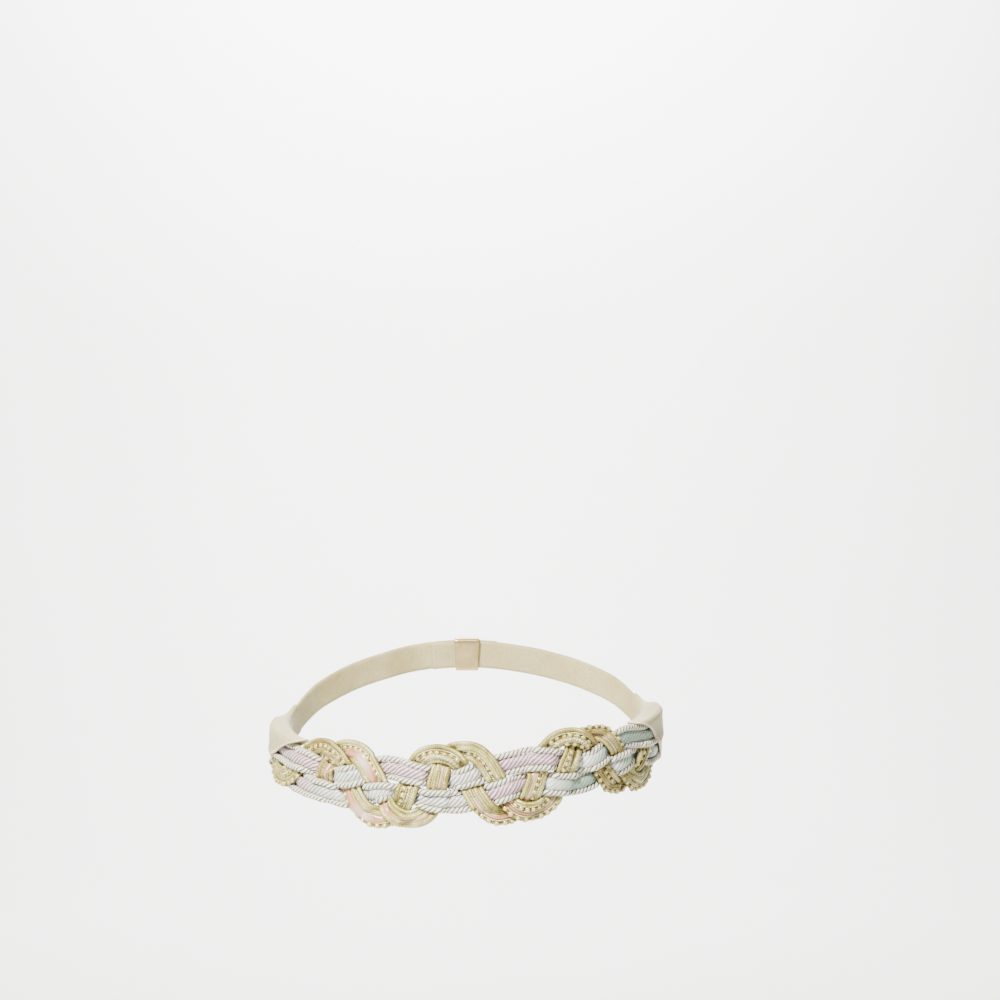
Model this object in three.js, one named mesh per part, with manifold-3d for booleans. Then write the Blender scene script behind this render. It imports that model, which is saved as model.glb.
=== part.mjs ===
import * as THREE from 'three';
import ManifoldModule from 'manifold-3d';

// Macrame belt, fastened round the hips. Millimetres, +Z up, the front towards -Y.
// Four strands of cords are woven flat. Their ends sit in two leather caps, and two
// leather straps close the loop at the back under a plain metal keeper.

// The hips that the belt lies on
const HIP_HALF_WIDTH = 153;
const HIP_HALF_DEPTH = 116;
const RISE_TO_THE_RIGHT = 8;
const RISE_AT_SIDES = 2;
const RISE_AT_BACK = 50;
const SIDE_TAPER = 0.12;
const BACK_TAPER = 0.22;
const FRONT_LEAN = THREE.MathUtils.degToRad(5);
const SIDE_LEAN = THREE.MathUtils.degToRad(2);
const HIP_SAMPLES = 1440;

// Cord thicknesses
const GIMP_RADIUS = 2;
const PEARL_RADIUS = 2.25;
const SATIN_RADIUS = 1.8;
const SATIN_SWELL = 0.9;
const SATIN_SWELL_LENGTH = 18;
const CREAM_ROPE_RADIUS = 2.3;
const COLOURED_ROPE_RADIUS = 2.25;

// The weave
const CORD_GAP = 0.15;
const LIFT = 2.7;
const LIFT_FADE = 3;
const RISE_PULL = 30;
const FALL_PULL = 25;
const STEEP_CLIMB = 30;
const LEAST_SLOPE_SINE = 0.6;
const BRAID_END = 222;
const FIRST_WAVE = -125;
const CREST_STEPS = 27;
const ROPE_STEP = 2.8;
const SECTION_EVERY = 3;
const SKIN_SHARE = 0.88;
const EDGE_SHARE = 0.9;
const VALLEY_SHARE = 0.3;

// Settling the cords against each other
const SETTLE_ROUNDS = 400;
const SETTLE_REACH = 8.5;
const SETTLE_GAIN = 1.1;
const SMOOTH_SHARE = 0.5;
const SAFE_LIFT = 1.5;
const SIDE_SHARE = 0.2;
const COHESION = 0.08;
const COHESION_SLACK = 1.1;

// How flat the cords are pressed where strands cross
const FLAT_SHARE = 0.95;
const FLAT_LEAST = 0.35;

const PIECE_GAP = 0.3;
const TRIM_TOLERANCE = 0.1;

// Leather caps over the ends of the braid. The slanted mouth is given by its distance from
// the front at mid height, how far its upper part comes forward and its lower part goes back.
// Each ring is given by its distance from the front and its inner half sizes and middle.
const LEATHER = 1.6;
const LEFT_MOUTH = { middle: 188, slant: 1.3, forward: 0.0009, back: 24 };
const RIGHT_MOUTH = { middle: 178, slant: 0.3, forward: 0.0015, back: 24 };
const MOUTH_BACK_OVER = 7;
const CAP_RINGS = [
  { s: 224, straight: 0, halfHeight: 21.6, halfThickness: 7.9, middle: -0.4 },
  { s: 224, straight: 0.35, halfHeight: 21.2, halfThickness: 8, middle: -0.6 },
  { s: 224, straight: 0.7, halfHeight: 20.4, halfThickness: 7.7, middle: -1.1 },
  { s: 224, straight: 1, halfHeight: 18.8, halfThickness: 6.4, middle: -1.9 },
  { s: 234, straight: 1, halfHeight: 14.8, halfThickness: 3.8, middle: -2.5 },
  { s: 244, straight: 1, halfHeight: 12.6, halfThickness: 1.8, middle: -2 },
  { s: 256, straight: 1, halfHeight: 12.6, halfThickness: 1.5, middle: 0.2 },
];
const CORNER_SHARE = 0.7;
const LARGEST_CORNER = 5;
const CAP_CORNER_STEPS = 3;
const CAP_SIDE_STEPS = 5;

// Leather straps, and the metal keeper that holds them together at the back
const STRAP_HALF_HEIGHT = 12;
const STRAP_HALF_THICKNESS = 1.1;
const STRAP_START = 244;
const STRAP_STEP = 12.8;
const STRAP_STATIONS = 17;
const STRAP_LOW = -4.5;
const STRAP_HIGH = 5;
const STRAP_RISE_FROM = 225;
const STRAP_RISE_TO = 290;
const STRAP_APART = 1.35;
const STRAP_APART_FROM = 354;
const STRAP_APART_TO = 376;
const KEEPER_HALF_LENGTH = 9;
const KEEPER_HALF_HEIGHT = 12.6;
const KEEPER_HALF_THICKNESS = 3.3;
const KEEPER_WALL = 1.8;
const KEEPER_STEPS = 4;

// Crests and troughs of the two gold strands: s along the belt, v up the belt
const GOLD_A_TURNS = [
  { s: -222, v: -9.5 },
  { s: -182, v: -14 },
  { s: -135, v: -13.5 },
  { s: -92, v: 20 },
  { s: -44, v: -24.5 },
  { s: -1, v: 22.5 },
  { s: 46, v: -25.5 },
  { s: 104, v: 23 },
  { s: 152, v: -22.5 },
  { s: 196, v: -13 },
  { s: 222, v: -10 },
];
const GOLD_B_TURNS = [
  { s: -222, v: 6 },
  { s: -174, v: -11.5 },
  { s: -120, v: 18.5 },
  { s: -70, v: -25.5 },
  { s: -21, v: 20.5 },
  { s: 27, v: -26.5 },
  { s: 83, v: 24.5 },
  { s: 130, v: -17.5 },
  { s: 192, v: 6 },
  { s: 222, v: 6 },
];

// Middle lines of the two rope strands
const UPPER_ROPE_POINTS = [
  { s: -222, v: 6.5 },
  { s: -190, v: 6 },
  { s: -155, v: 8.5 },
  { s: -134, v: 8 },
  { s: -114, v: 4.5 },
  { s: -92, v: 3.5 },
  { s: -63, v: 11 },
  { s: -31, v: 6 },
  { s: -6, v: 3.5 },
  { s: 16, v: 8 },
  { s: 51, v: 13 },
  { s: 94, v: 6 },
  { s: 114, v: 9 },
  { s: 137, v: 13.5 },
  { s: 158, v: 10 },
  { s: 176, v: 7.5 },
  { s: 195, v: 6.5 },
  { s: 222, v: 6.5 },
];
const LOWER_ROPE_POINTS = [
  { s: -222, v: -10.5 },
  { s: -190, v: -11.5 },
  { s: -155, v: -9.5 },
  { s: -122, v: -10 },
  { s: -92, v: -12.5 },
  { s: -63, v: -8.5 },
  { s: -31, v: -13 },
  { s: -6, v: -14.5 },
  { s: 16, v: -10.5 },
  { s: 51, v: -6.5 },
  { s: 90, v: -9.5 },
  { s: 119, v: -5.5 },
  { s: 140, v: -5 },
  { s: 165, v: -8 },
  { s: 190, v: -10.5 },
  { s: 222, v: -10.5 },
];

// Cords of a strand, from its right-hand side to its left when it is followed along +s.
// The wide coloured cord of a rope strand counts as two that lie side by side.
const PEARLS = { radius: PEARL_RADIUS };
const GIMP = { radius: GIMP_RADIUS };
const CREAM_ROPE = { radius: CREAM_ROPE_RADIUS };
const COLOURED_ROPE = { radius: COLOURED_ROPE_RADIUS };
const GOLD_A_CORDS = [PEARLS, { radius: SATIN_RADIUS, swellAt: -84 }, GIMP, GIMP];
const GOLD_B_CORDS = [PEARLS, { radius: SATIN_RADIUS, swellAt: -84 }, PEARLS, GIMP];
const ROPE_CORDS = [CREAM_ROPE, COLOURED_ROPE, COLOURED_ROPE, CREAM_ROPE];

// Height of the band's middle line above the front, at an angle round the hips
function bandHeight(angle) {
  const side = Math.sin(angle);
  const behind = (1 - Math.cos(angle)) / 2;
  const slope = RISE_TO_THE_RIGHT * side * (1 - behind ** 2);
  return slope + RISE_AT_SIDES * side ** 2 + RISE_AT_BACK * behind ** 3;
}

function hipPoint(angle) {
  const height = bandHeight(angle);
  const cosine = Math.cos(angle);
  const halfWidth = HIP_HALF_WIDTH - SIDE_TAPER * height;
  const halfDepth = HIP_HALF_DEPTH - (cosine < 0 ? BACK_TAPER * height : 0);
  return new THREE.Vector3(halfWidth * Math.sin(angle), -halfDepth * cosine, height);
}

// Directions along, up and out of the band at an angle
function hipFrame(angle) {
  const step = Math.PI / HIP_SAMPLES;
  const along = hipPoint(angle + step).sub(hipPoint(angle - step)).normalize();
  const out = new THREE.Vector3(along.y, -along.x, 0).normalize();
  const lean = THREE.MathUtils.lerp(FRONT_LEAN, SIDE_LEAN, Math.sin(angle) ** 2);
  const up = new THREE.Vector3(0, 0, Math.cos(lean)).addScaledVector(out, -Math.sin(lean));
  up.addScaledVector(along, -up.dot(along)).normalize();
  return { along, up, out: new THREE.Vector3().crossVectors(along, up) };
}

// Stations round the hips, with their distance s from the front
function hipStations() {
  const stations = [];
  let s = 0;
  for (let i = 0; i <= HIP_SAMPLES; i += 1) {
    const angle = -Math.PI + (2 * Math.PI * i) / HIP_SAMPLES;
    const point = hipPoint(angle);
    if (i > 0) s += point.distanceTo(stations[i - 1].point);
    stations.push({ s, point, ...hipFrame(angle) });
  }
  const middle = stations[HIP_SAMPLES / 2].s;
  for (const station of stations) station.s -= middle;
  return stations;
}

const STATIONS = hipStations();
const LOOP_START = STATIONS[0].s;
const LOOP_END = STATIONS[HIP_SAMPLES].s;

// Distance s carried once round the loop where it runs past the back
function wrapped(s) {
  if (s > LOOP_END) return s - LOOP_END + LOOP_START;
  if (s < LOOP_START) return s - LOOP_START + LOOP_END;
  return s;
}

// Point in space for s along, v up and w out of the band
function bandPoint(s, v, w) {
  const at = wrapped(s);
  let low = 0;
  let high = HIP_SAMPLES;
  while (high - low > 1) {
    const middle = (low + high) >> 1;
    if (STATIONS[middle].s <= at) low = middle;
    else high = middle;
  }
  const a = STATIONS[low];
  const b = STATIONS[high];
  const share = (at - a.s) / (b.s - a.s);
  const point = a.point.clone().lerp(b.point, share);
  point.addScaledVector(a.up.clone().lerp(b.up, share), v);
  return point.addScaledVector(a.out.clone().lerp(b.out, share), w);
}

// Sideways places of a strand's cords, right-hand side first
function cordOffsets(kinds) {
  const width = kinds.reduce((sum, { radius }) => sum + 2 * radius + CORD_GAP, -CORD_GAP);
  let edge = -width / 2;
  return kinds.map(({ radius }) => {
    const offset = edge + radius;
    edge += 2 * radius + CORD_GAP;
    return offset;
  });
}

// Level curve from one turn of a wave to the next, its handles shifted so that cords beside
// each other stay parallel on the slope
function waveCurve(from, to, offset) {
  const span = to.s - from.s;
  const climb = to.v - from.v;
  const steep = Math.min(1, Math.abs(climb) / STEEP_CLIMB);
  const pull = THREE.MathUtils.lerp(span / 3, climb > 0 ? RISE_PULL : FALL_PULL, steep);
  const slope = Math.atan2(Math.abs(climb) * 1.5, 1.5 * span - pull);
  const sideways = offset / Math.max(Math.sin(slope), LEAST_SLOPE_SINE);
  const shift = (4 / 3) * sideways * Math.sign(climb) * steep;
  return new THREE.CubicBezierCurve(
    new THREE.Vector2(from.s, from.v + offset),
    new THREE.Vector2(from.s + pull - shift, from.v + offset),
    new THREE.Vector2(to.s - pull - shift, to.v + offset),
    new THREE.Vector2(to.s, to.v + offset),
  );
}

function waveRoute(turns, offset) {
  const route = [];
  for (let k = 0; k + 1 < turns.length; k += 1) {
    const points = waveCurve(turns[k], turns[k + 1], offset).getPoints(CREST_STEPS);
    route.push(...(k === 0 ? points : points.slice(1)));
  }
  return route;
}

// Smooth line through a rope strand's points, shifted up or down the band
function ropeRoute(rows, offset) {
  const points = rows.map((row) => new THREE.Vector3(row.s, row.v + offset, 0));
  const curve = new THREE.CatmullRomCurve3(points, false, 'centripetal');
  const count = Math.round((2 * BRAID_END) / ROPE_STEP);
  return curve.getPoints(count).map((point) => new THREE.Vector2(point.x, point.y));
}

// A strand: its middle line and the plan routes of its cords
function makeStrand(name, kinds, pairedMiddle, route) {
  const offsets = cordOffsets(kinds);
  const halfWidth = offsets[kinds.length - 1] + kinds[kinds.length - 1].radius;
  const cords = kinds.map((kind, k) => ({ ...kind, plan: route(offsets[k]) }));
  return { name, cords, pairedMiddle, halfWidth, middle: route(0) };
}

// A satin cord swells where it is not squeezed
function radiusAt(cord, s) {
  if (cord.swellAt === undefined) return cord.radius;
  const away = (s - cord.swellAt) / SATIN_SWELL_LENGTH;
  return cord.radius + SATIN_SWELL * Math.exp(-away * away);
}

const wave = (turns) => (offset) => waveRoute(turns, offset);
const line = (rows) => (offset) => ropeRoute(rows, offset);
const GOLD_A = makeStrand('gold_strand_a', GOLD_A_CORDS, false, wave(GOLD_A_TURNS));
const GOLD_B = makeStrand('gold_strand_b', GOLD_B_CORDS, false, wave(GOLD_B_TURNS));
const UPPER_ROPES = makeStrand('upper_rope_strand', ROPE_CORDS, true, line(UPPER_ROPE_POINTS));
const LOWER_ROPES = makeStrand('lower_rope_strand', ROPE_CORDS, true, line(LOWER_ROPE_POINTS));
const STRANDS = [GOLD_A, GOLD_B, UPPER_ROPES, LOWER_ROPES];

// How fully a strand covers a plan point, from 0 beside it to 1 well inside it
function cover(strand, point, radius) {
  let nearest = Infinity;
  for (const place of strand.middle) nearest = Math.min(nearest, place.distanceTo(point));
  return THREE.MathUtils.clamp((strand.halfWidth + radius + CORD_GAP - nearest) / LIFT_FADE, 0, 1);
}

// Which of two strands lies over the other at a plan point: 1 for the first, -1 for the second
function overUnder(first, second, point) {
  if (first === second) return 0;
  if (STRANDS.indexOf(first) > STRANDS.indexOf(second)) return -overUnder(second, first, point);
  if (first === GOLD_A && second === GOLD_B) return point.y > 0 || point.x < FIRST_WAVE ? -1 : 1;
  if (first === GOLD_A) return second === UPPER_ROPES ? 1 : -1;
  if (first === GOLD_B) return second === LOWER_ROPES ? 1 : -1;
  return 0;
}

// Lift of a cord at a plan point, from the strands that it meets there
function liftOf(strand, point, radius) {
  let lift = 0;
  for (const other of STRANDS) {
    const order = overUnder(strand, other, point);
    if (order !== 0) lift += order * cover(other, point, radius);
  }
  return LIFT * THREE.MathUtils.clamp(lift, -1, 1);
}

// All cords as chains of nodes, with the lift that the weave gives them
function liftedNodes() {
  const nodes = [];
  for (const strand of STRANDS) {
    for (const cord of strand.cords) {
      cord.first = nodes.length;
      for (const point of cord.plan) {
        const radius = radiusAt(cord, point.x);
        const lift = liftOf(strand, point, radius);
        nodes.push({ strand, cord, radius, place: new THREE.Vector3(point.x, point.y, lift) });
      }
      cord.count = cord.plan.length;
    }
  }
  return nodes;
}

// Pairs of nodes near each other in plan, with the order in which they lie
function nearPairs(nodes) {
  const pairs = [];
  for (let i = 0; i < nodes.length; i += 1) {
    for (let j = i + 1; j < nodes.length; j += 1) {
      if (nodes[i].cord === nodes[j].cord) continue;
      const across = nodes[i].place.x - nodes[j].place.x;
      const rise = nodes[i].place.y - nodes[j].place.y;
      if (across * across + rise * rise > SETTLE_REACH * SETTLE_REACH) continue;
      const order = overUnder(nodes[i].strand, nodes[j].strand, nodes[i].place);
      pairs.push({ i, j, order, reach: nodes[i].radius + nodes[j].radius + CORD_GAP });
    }
  }
  return pairs;
}

// Push that parts two cords: away from each other, or up or down past each other where
// they lie in the wrong order
function partingPush(between, order, reach) {
  const rightWayUp = order === 0 || order * between.z > SAFE_LIFT;
  if (rightWayUp) {
    const distance = between.length();
    return distance < reach ? between.multiplyScalar((0.5 * (reach - distance)) / distance) : null;
  }
  const flat = Math.hypot(between.x, between.y);
  if (flat >= reach) return null;
  const overlap = Math.sqrt(reach * reach - flat * flat) - order * between.z;
  return between.set(SIDE_SHARE * between.x, SIDE_SHARE * between.y, 0.5 * order * overlap);
}

// Pushes of all the nodes that lie too close, averaged at each node
function contactPushes(nodes, pairs, moves) {
  const pushes = nodes.map(() => new THREE.Vector3());
  const counts = new Array(nodes.length).fill(0);
  const between = new THREE.Vector3();
  for (const { i, j, order, reach } of pairs) {
    between.copy(nodes[i].place).add(moves[i]).sub(nodes[j].place).sub(moves[j]);
    if (!partingPush(between, order, reach)) continue;
    pushes[i].add(between);
    pushes[j].sub(between);
    counts[i] += 1;
    counts[j] += 1;
  }
  pushes.forEach((push, i) => push.multiplyScalar(SETTLE_GAIN / Math.max(counts[i], 1)));
  return pushes;
}

// Each cord's moves, evened out along it so that it stays smooth
function smoothMoves(moves) {
  const smooth = moves.map((move) => move.clone());
  for (const { cords } of STRANDS) {
    for (const { first, count } of cords) {
      for (let i = first + 1; i < first + count - 1; i += 1) {
        const mean = moves[i - 1].clone().add(moves[i + 1]).multiplyScalar(0.5);
        smooth[i].lerp(mean, SMOOTH_SHARE);
      }
    }
  }
  return smooth;
}

// Neighbours in a strand drawn back together where they drift apart
function addCohesion(nodes, moves, pushes) {
  const between = new THREE.Vector3();
  for (const { cords } of STRANDS) {
    for (let k = 0; k + 1 < cords.length; k += 1) {
      for (let n = 0; n < cords[k].count; n += 1) {
        const i = cords[k].first + n;
        const j = cords[k + 1].first + n;
        between.copy(nodes[i].place).add(moves[i]).sub(nodes[j].place).sub(moves[j]);
        const slack = between.length() - COHESION_SLACK * (nodes[i].radius + nodes[j].radius);
        if (slack <= 0) continue;
        between.setLength(COHESION * slack);
        pushes[i].sub(between);
        pushes[j].add(between);
      }
    }
  }
}

// How flat each node is pressed by the strands that cross it
function pressFlat(nodes, pairs) {
  const flat = nodes.map(() => 1);
  for (const { i, j } of pairs) {
    if (nodes[i].strand === nodes[j].strand) continue;
    const room = nodes[i].place.distanceTo(nodes[j].place) / (nodes[i].radius + nodes[j].radius);
    flat[i] = Math.min(flat[i], FLAT_SHARE * room);
    flat[j] = Math.min(flat[j], FLAT_SHARE * room);
  }
  return flat;
}

// A cord's share of the settled nodes; a section is as flat as the flattest node around it
function takeCord(cord, nodes, flat) {
  const last = cord.first + cord.count;
  const own = nodes.slice(cord.first, last);
  cord.places = own.map((node) => node.place);
  cord.radii = own.map((node) => node.radius);
  cord.flat = own.map((node, i) => {
    const from = cord.first + Math.max(0, i - SECTION_EVERY + 1);
    const to = Math.min(last, cord.first + i + SECTION_EVERY);
    return Math.max(FLAT_LEAST, Math.min(...flat.slice(from, to)));
  });
}

// Cords pushed apart until each rests on the others
function settleCords() {
  const nodes = liftedNodes();
  const pairs = nearPairs(nodes);
  let moves = nodes.map(() => new THREE.Vector3());
  for (let round = 0; round < SETTLE_ROUNDS; round += 1) {
    const pushes = contactPushes(nodes, pairs, moves);
    addCohesion(nodes, moves, pushes);
    moves.forEach((move, i) => move.add(pushes[i]));
    moves = smoothMoves(moves);
  }
  nodes.forEach((node, i) => node.place.add(moves[i]));
  const flat = pressFlat(nodes, pairs);
  for (const { cords } of STRANDS) {
    for (const cord of cords) takeCord(cord, nodes, flat);
  }
}

// Triangles that fill a flat outline, wound the way the outline runs
function fillOutline(outline) {
  const turn = Math.sign(THREE.ShapeUtils.area(outline));
  return THREE.ShapeUtils.triangulateShape(outline, []).map(([a, b, c]) => {
    const same = Math.sign(THREE.ShapeUtils.area([outline[a], outline[b], outline[c]])) === turn;
    return same ? [a, b, c] : [a, c, b];
  });
}

// Closed skin over rings of points, each ring in the same order
function skinGeometry(rings, startFace, endFace) {
  const size = rings[0].length;
  const positions = rings.flat().flatMap((point) => [point.x, point.y, point.z]);
  const index = [];
  for (let r = 0; r + 1 < rings.length; r += 1) {
    for (let k = 0; k < size; k += 1) {
      const a = r * size + k;
      const b = r * size + ((k + 1) % size);
      index.push(a, b, b + size, a, b + size, a + size);
    }
  }
  const last = (rings.length - 1) * size;
  for (const [a, b, c] of startFace) index.push(a, c, b);
  for (const [a, b, c] of endFace) index.push(last + a, last + b, last + c);
  return closedGeometry(positions, index);
}

// Geometry whose faces point out, whichever way its rings were wound
function closedGeometry(positions, index) {
  const corner = (k) => new THREE.Vector3().fromArray(positions, 3 * index[k]);
  let volume = 0;
  for (let k = 0; k < index.length; k += 3) volume += corner(k).dot(corner(k + 1).cross(corner(k + 2)));
  if (volume < 0) {
    for (let k = 0; k < index.length; k += 3) [index[k + 1], index[k + 2]] = [index[k + 2], index[k + 1]];
  }
  const geometry = new THREE.BufferGeometry();
  geometry.setAttribute('position', new THREE.Float32BufferAttribute(positions, 3));
  geometry.setIndex(index);
  geometry.computeVertexNormals();
  return geometry;
}

// Ribs of a strand at a section: one for each cord, the coloured rope's two taken together
function ribsAt(strand, i) {
  const ribs = strand.cords.map(({ places, radii, flat }) => {
    return { place: places[i], width: radii[i] * flat[i], out: radii[i] * flat[i] };
  });
  if (strand.pairedMiddle) {
    const place = ribs[1].place.clone().lerp(ribs[2].place, 0.5);
    const out = Math.min(ribs[1].out, ribs[2].out);
    ribs.splice(1, 2, { place, width: 2 * out, out });
  }
  return ribs;
}

// Outline of a strand's ribs side by side: crowns and valleys outside, crowns inside
function strandOutline(ribs, side) {
  const outline = [];
  const put = ({ place, width, out }, sideways, rise) => outline.push([
    place.x + side.x * sideways * width,
    place.y + side.y * sideways * width,
    place.z + rise * out,
  ]);
  put(ribs[0], -EDGE_SHARE, 0);
  ribs.forEach((rib, k) => {
    put(rib, 0, SKIN_SHARE);
    if (k + 1 === ribs.length) return;
    const middle = rib.place.clone().lerp(ribs[k + 1].place, rib.width / (rib.width + ribs[k + 1].width));
    outline.push([middle.x, middle.y, middle.z + VALLEY_SHARE * rib.out]);
  });
  put(ribs[ribs.length - 1], EDGE_SHARE, 0);
  for (const rib of [...ribs].reverse()) put(rib, 0, -SKIN_SHARE);
  return outline;
}

function strandGeometry(strand) {
  const count = strand.cords[0].count;
  const rings = [];
  const faces = [];
  for (let i = 0; i < count; i += SECTION_EVERY) {
    const before = strand.middle[Math.max(i - 1, 0)];
    const after = strand.middle[Math.min(i + 1, count - 1)];
    const side = new THREE.Vector2(before.y - after.y, after.x - before.x).normalize();
    const outline = strandOutline(ribsAt(strand, i), side);
    faces.push(outline.map(([s, v, w]) => new THREE.Vector2(s * side.x + v * side.y, w)));
    rings.push(outline.map(([s, v, w]) => bandPoint(s, v, w)));
  }
  return skinGeometry(rings, fillOutline(faces[0]), fillOutline(faces[faces.length - 1]));
}

// Outline of a rounded rectangle, as pairs of heights and thicknesses, its corners and its
// long sides drawn in a number of steps
function roundedOutline(halfHeight, halfThickness, steps, sideSteps = 1) {
  const corner = Math.min(LARGEST_CORNER, CORNER_SHARE * halfThickness);
  const outline = [];
  for (let quarter = 0; quarter < 4; quarter += 1) {
    const upper = quarter === 0 || quarter === 3 ? 1 : -1;
    const outer = quarter < 2 ? 1 : -1;
    for (let k = 0; k <= steps; k += 1) {
      const turn = ((quarter + k / steps) * Math.PI) / 2;
      outline.push([
        upper * (halfHeight - corner) + corner * Math.cos(turn),
        outer * (halfThickness - corner) + corner * Math.sin(turn),
      ]);
    }
    for (let k = 1; k < sideSteps && upper === outer; k += 1) {
      const share = 1 - (2 * k) / sideSteps;
      outline.push([upper * (halfHeight - corner) * share, outer * halfThickness]);
    }
  }
  return outline;
}

// Closed tube wall over inner rings and outer rings, open right through
function sleeveGeometry(inner, outer) {
  const rings = [...inner, ...[...outer].reverse(), inner[0]];
  const size = inner[0].length;
  const positions = rings.slice(0, -1).flat().flatMap((point) => [point.x, point.y, point.z]);
  const index = [];
  for (let r = 0; r + 1 < rings.length; r += 1) {
    const next = (r + 1) % (rings.length - 1);
    for (let k = 0; k < size; k += 1) {
      const b = (k + 1) % size;
      index.push(r * size + k, r * size + b, next * size + b);
      index.push(r * size + k, next * size + b, next * size + k);
    }
  }
  return closedGeometry(positions, index);
}

// Distance of a cap's mouth from the front, at a height v
function mouthAt({ middle, slant, forward, back }, v) {
  if (v < 0) return middle + back * (1 - Math.exp(v / MOUTH_BACK_OVER));
  return middle - slant * v - forward * v ** 3;
}

// Ring of a cap, grown by the thickness of the leather for its outer face
function capRing(hand, ring, wall) {
  const mouth = hand < 0 ? LEFT_MOUTH : RIGHT_MOUTH;
  const halfHeight = ring.halfHeight + wall;
  const halfThickness = ring.halfThickness + wall;
  const outline = roundedOutline(halfHeight, halfThickness, CAP_CORNER_STEPS, CAP_SIDE_STEPS);
  return outline.map(([height, w]) => {
    const v = ring.middle + height;
    return bandPoint(hand * THREE.MathUtils.lerp(mouthAt(mouth, v), ring.s, ring.straight), v, w);
  });
}

function capGeometry(hand) {
  const inner = CAP_RINGS.map((ring) => capRing(hand, ring, 0));
  const outer = CAP_RINGS.map((ring) => capRing(hand, ring, LEATHER));
  return sleeveGeometry(inner, outer);
}

// Height of a strap's middle line, at a distance from the front
function strapMiddle(distance) {
  const share = THREE.MathUtils.smoothstep(distance, STRAP_RISE_FROM, STRAP_RISE_TO);
  return THREE.MathUtils.lerp(STRAP_LOW, STRAP_HIGH, share);
}

// Strap from its cap round to the back and on past the middle, over or under the other strap
function strapGeometry(hand) {
  const rings = [];
  const outline = roundedOutline(STRAP_HALF_HEIGHT, STRAP_HALF_THICKNESS, 1);
  for (let k = 0; k < STRAP_STATIONS; k += 1) {
    const s = STRAP_START + STRAP_STEP * k;
    const apart = -hand * STRAP_APART * THREE.MathUtils.smoothstep(s, STRAP_APART_FROM, STRAP_APART_TO);
    rings.push(outline.map(([v, w]) => bandPoint(hand * s, v + strapMiddle(s), w + apart)));
  }
  const face = fillOutline(outline.map(([v, w]) => new THREE.Vector2(v, w)));
  return skinGeometry(rings, face, face);
}

function keeperGeometry() {
  const ring = (k, wall) => {
    const s = LOOP_END - KEEPER_HALF_LENGTH + (2 * KEEPER_HALF_LENGTH * k) / KEEPER_STEPS;
    const outline = roundedOutline(KEEPER_HALF_HEIGHT + wall, KEEPER_HALF_THICKNESS + wall, 2);
    return outline.map(([v, w]) => bandPoint(s, v + STRAP_HIGH, w));
  };
  const rings = (wall) => Array.from({ length: KEEPER_STEPS + 1 }, (unused, k) => ring(k, wall));
  return sleeveGeometry(rings(0), rings(KEEPER_WALL));
}

// Solid for trimming, from a closed geometry whose skin is moved out by an amount
function solidOf(geometry, growth) {
  const normals = geometry.attributes.normal.array;
  const positions = geometry.attributes.position.array.map((value, k) => value + growth * normals[k]);
  const triVerts = Uint32Array.from(geometry.index.array);
  return new wasm.Manifold(new wasm.Mesh({ numProp: 3, vertProperties: positions, triVerts }));
}

// A geometry cut back where others come too close; its largest piece is kept
function trimmed(geometry, others) {
  let solid = solidOf(geometry, 0);
  for (const other of others) solid = solid.subtract(solidOf(other, PIECE_GAP));
  const pieces = solid.simplify(TRIM_TOLERANCE).decompose();
  const kept = pieces.reduce((best, piece) => (piece.volume() > best.volume() ? piece : best));
  const { vertProperties, triVerts } = kept.getMesh();
  return closedGeometry(Array.from(vertProperties), Array.from(triVerts));
}

const wasm = await ManifoldModule();
wasm.setup();
settleCords();

// The strands, each cut back where it would press into one that was made before it
const goldA = strandGeometry(GOLD_A);
const goldB = trimmed(strandGeometry(GOLD_B), [goldA]);
const upperRopes = trimmed(strandGeometry(UPPER_ROPES), [goldA, goldB]);
const lowerRopes = trimmed(strandGeometry(LOWER_ROPES), [goldA, goldB, upperRopes]);

// The pieces, in the colours of their cords, leather and metal
const belt = new THREE.Group();
belt.name = 'macrame_belt';

function addPiece(name, geometry, color, roughness, metalness) {
  const material = new THREE.MeshStandardMaterial({ color, roughness, metalness });
  const mesh = new THREE.Mesh(geometry, material);
  mesh.name = name;
  belt.add(mesh);
}

addPiece('upper_rope_strand', upperRopes, 0xcfc3cc, 0.55, 0);
addPiece('lower_rope_strand', lowerRopes, 0xc3cfc9, 0.5, 0);
addPiece('gold_strand_a', goldA, 0xd2c397, 0.4, 0.15);
addPiece('gold_strand_b', goldB, 0xcfb9a0, 0.4, 0.15);
addPiece('left_end_cap', capGeometry(-1), 0xe6dcc6, 0.6, 0);
addPiece('right_end_cap', capGeometry(1), 0xe6dcc6, 0.6, 0);
addPiece('left_strap', strapGeometry(-1), 0xe2d7c0, 0.6, 0);
addPiece('right_strap', strapGeometry(1), 0xe2d7c0, 0.6, 0);
addPiece('back_keeper', keeperGeometry(), 0xb89a5c, 0.35, 1);

export default belt;
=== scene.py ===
import copy
import math

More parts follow.
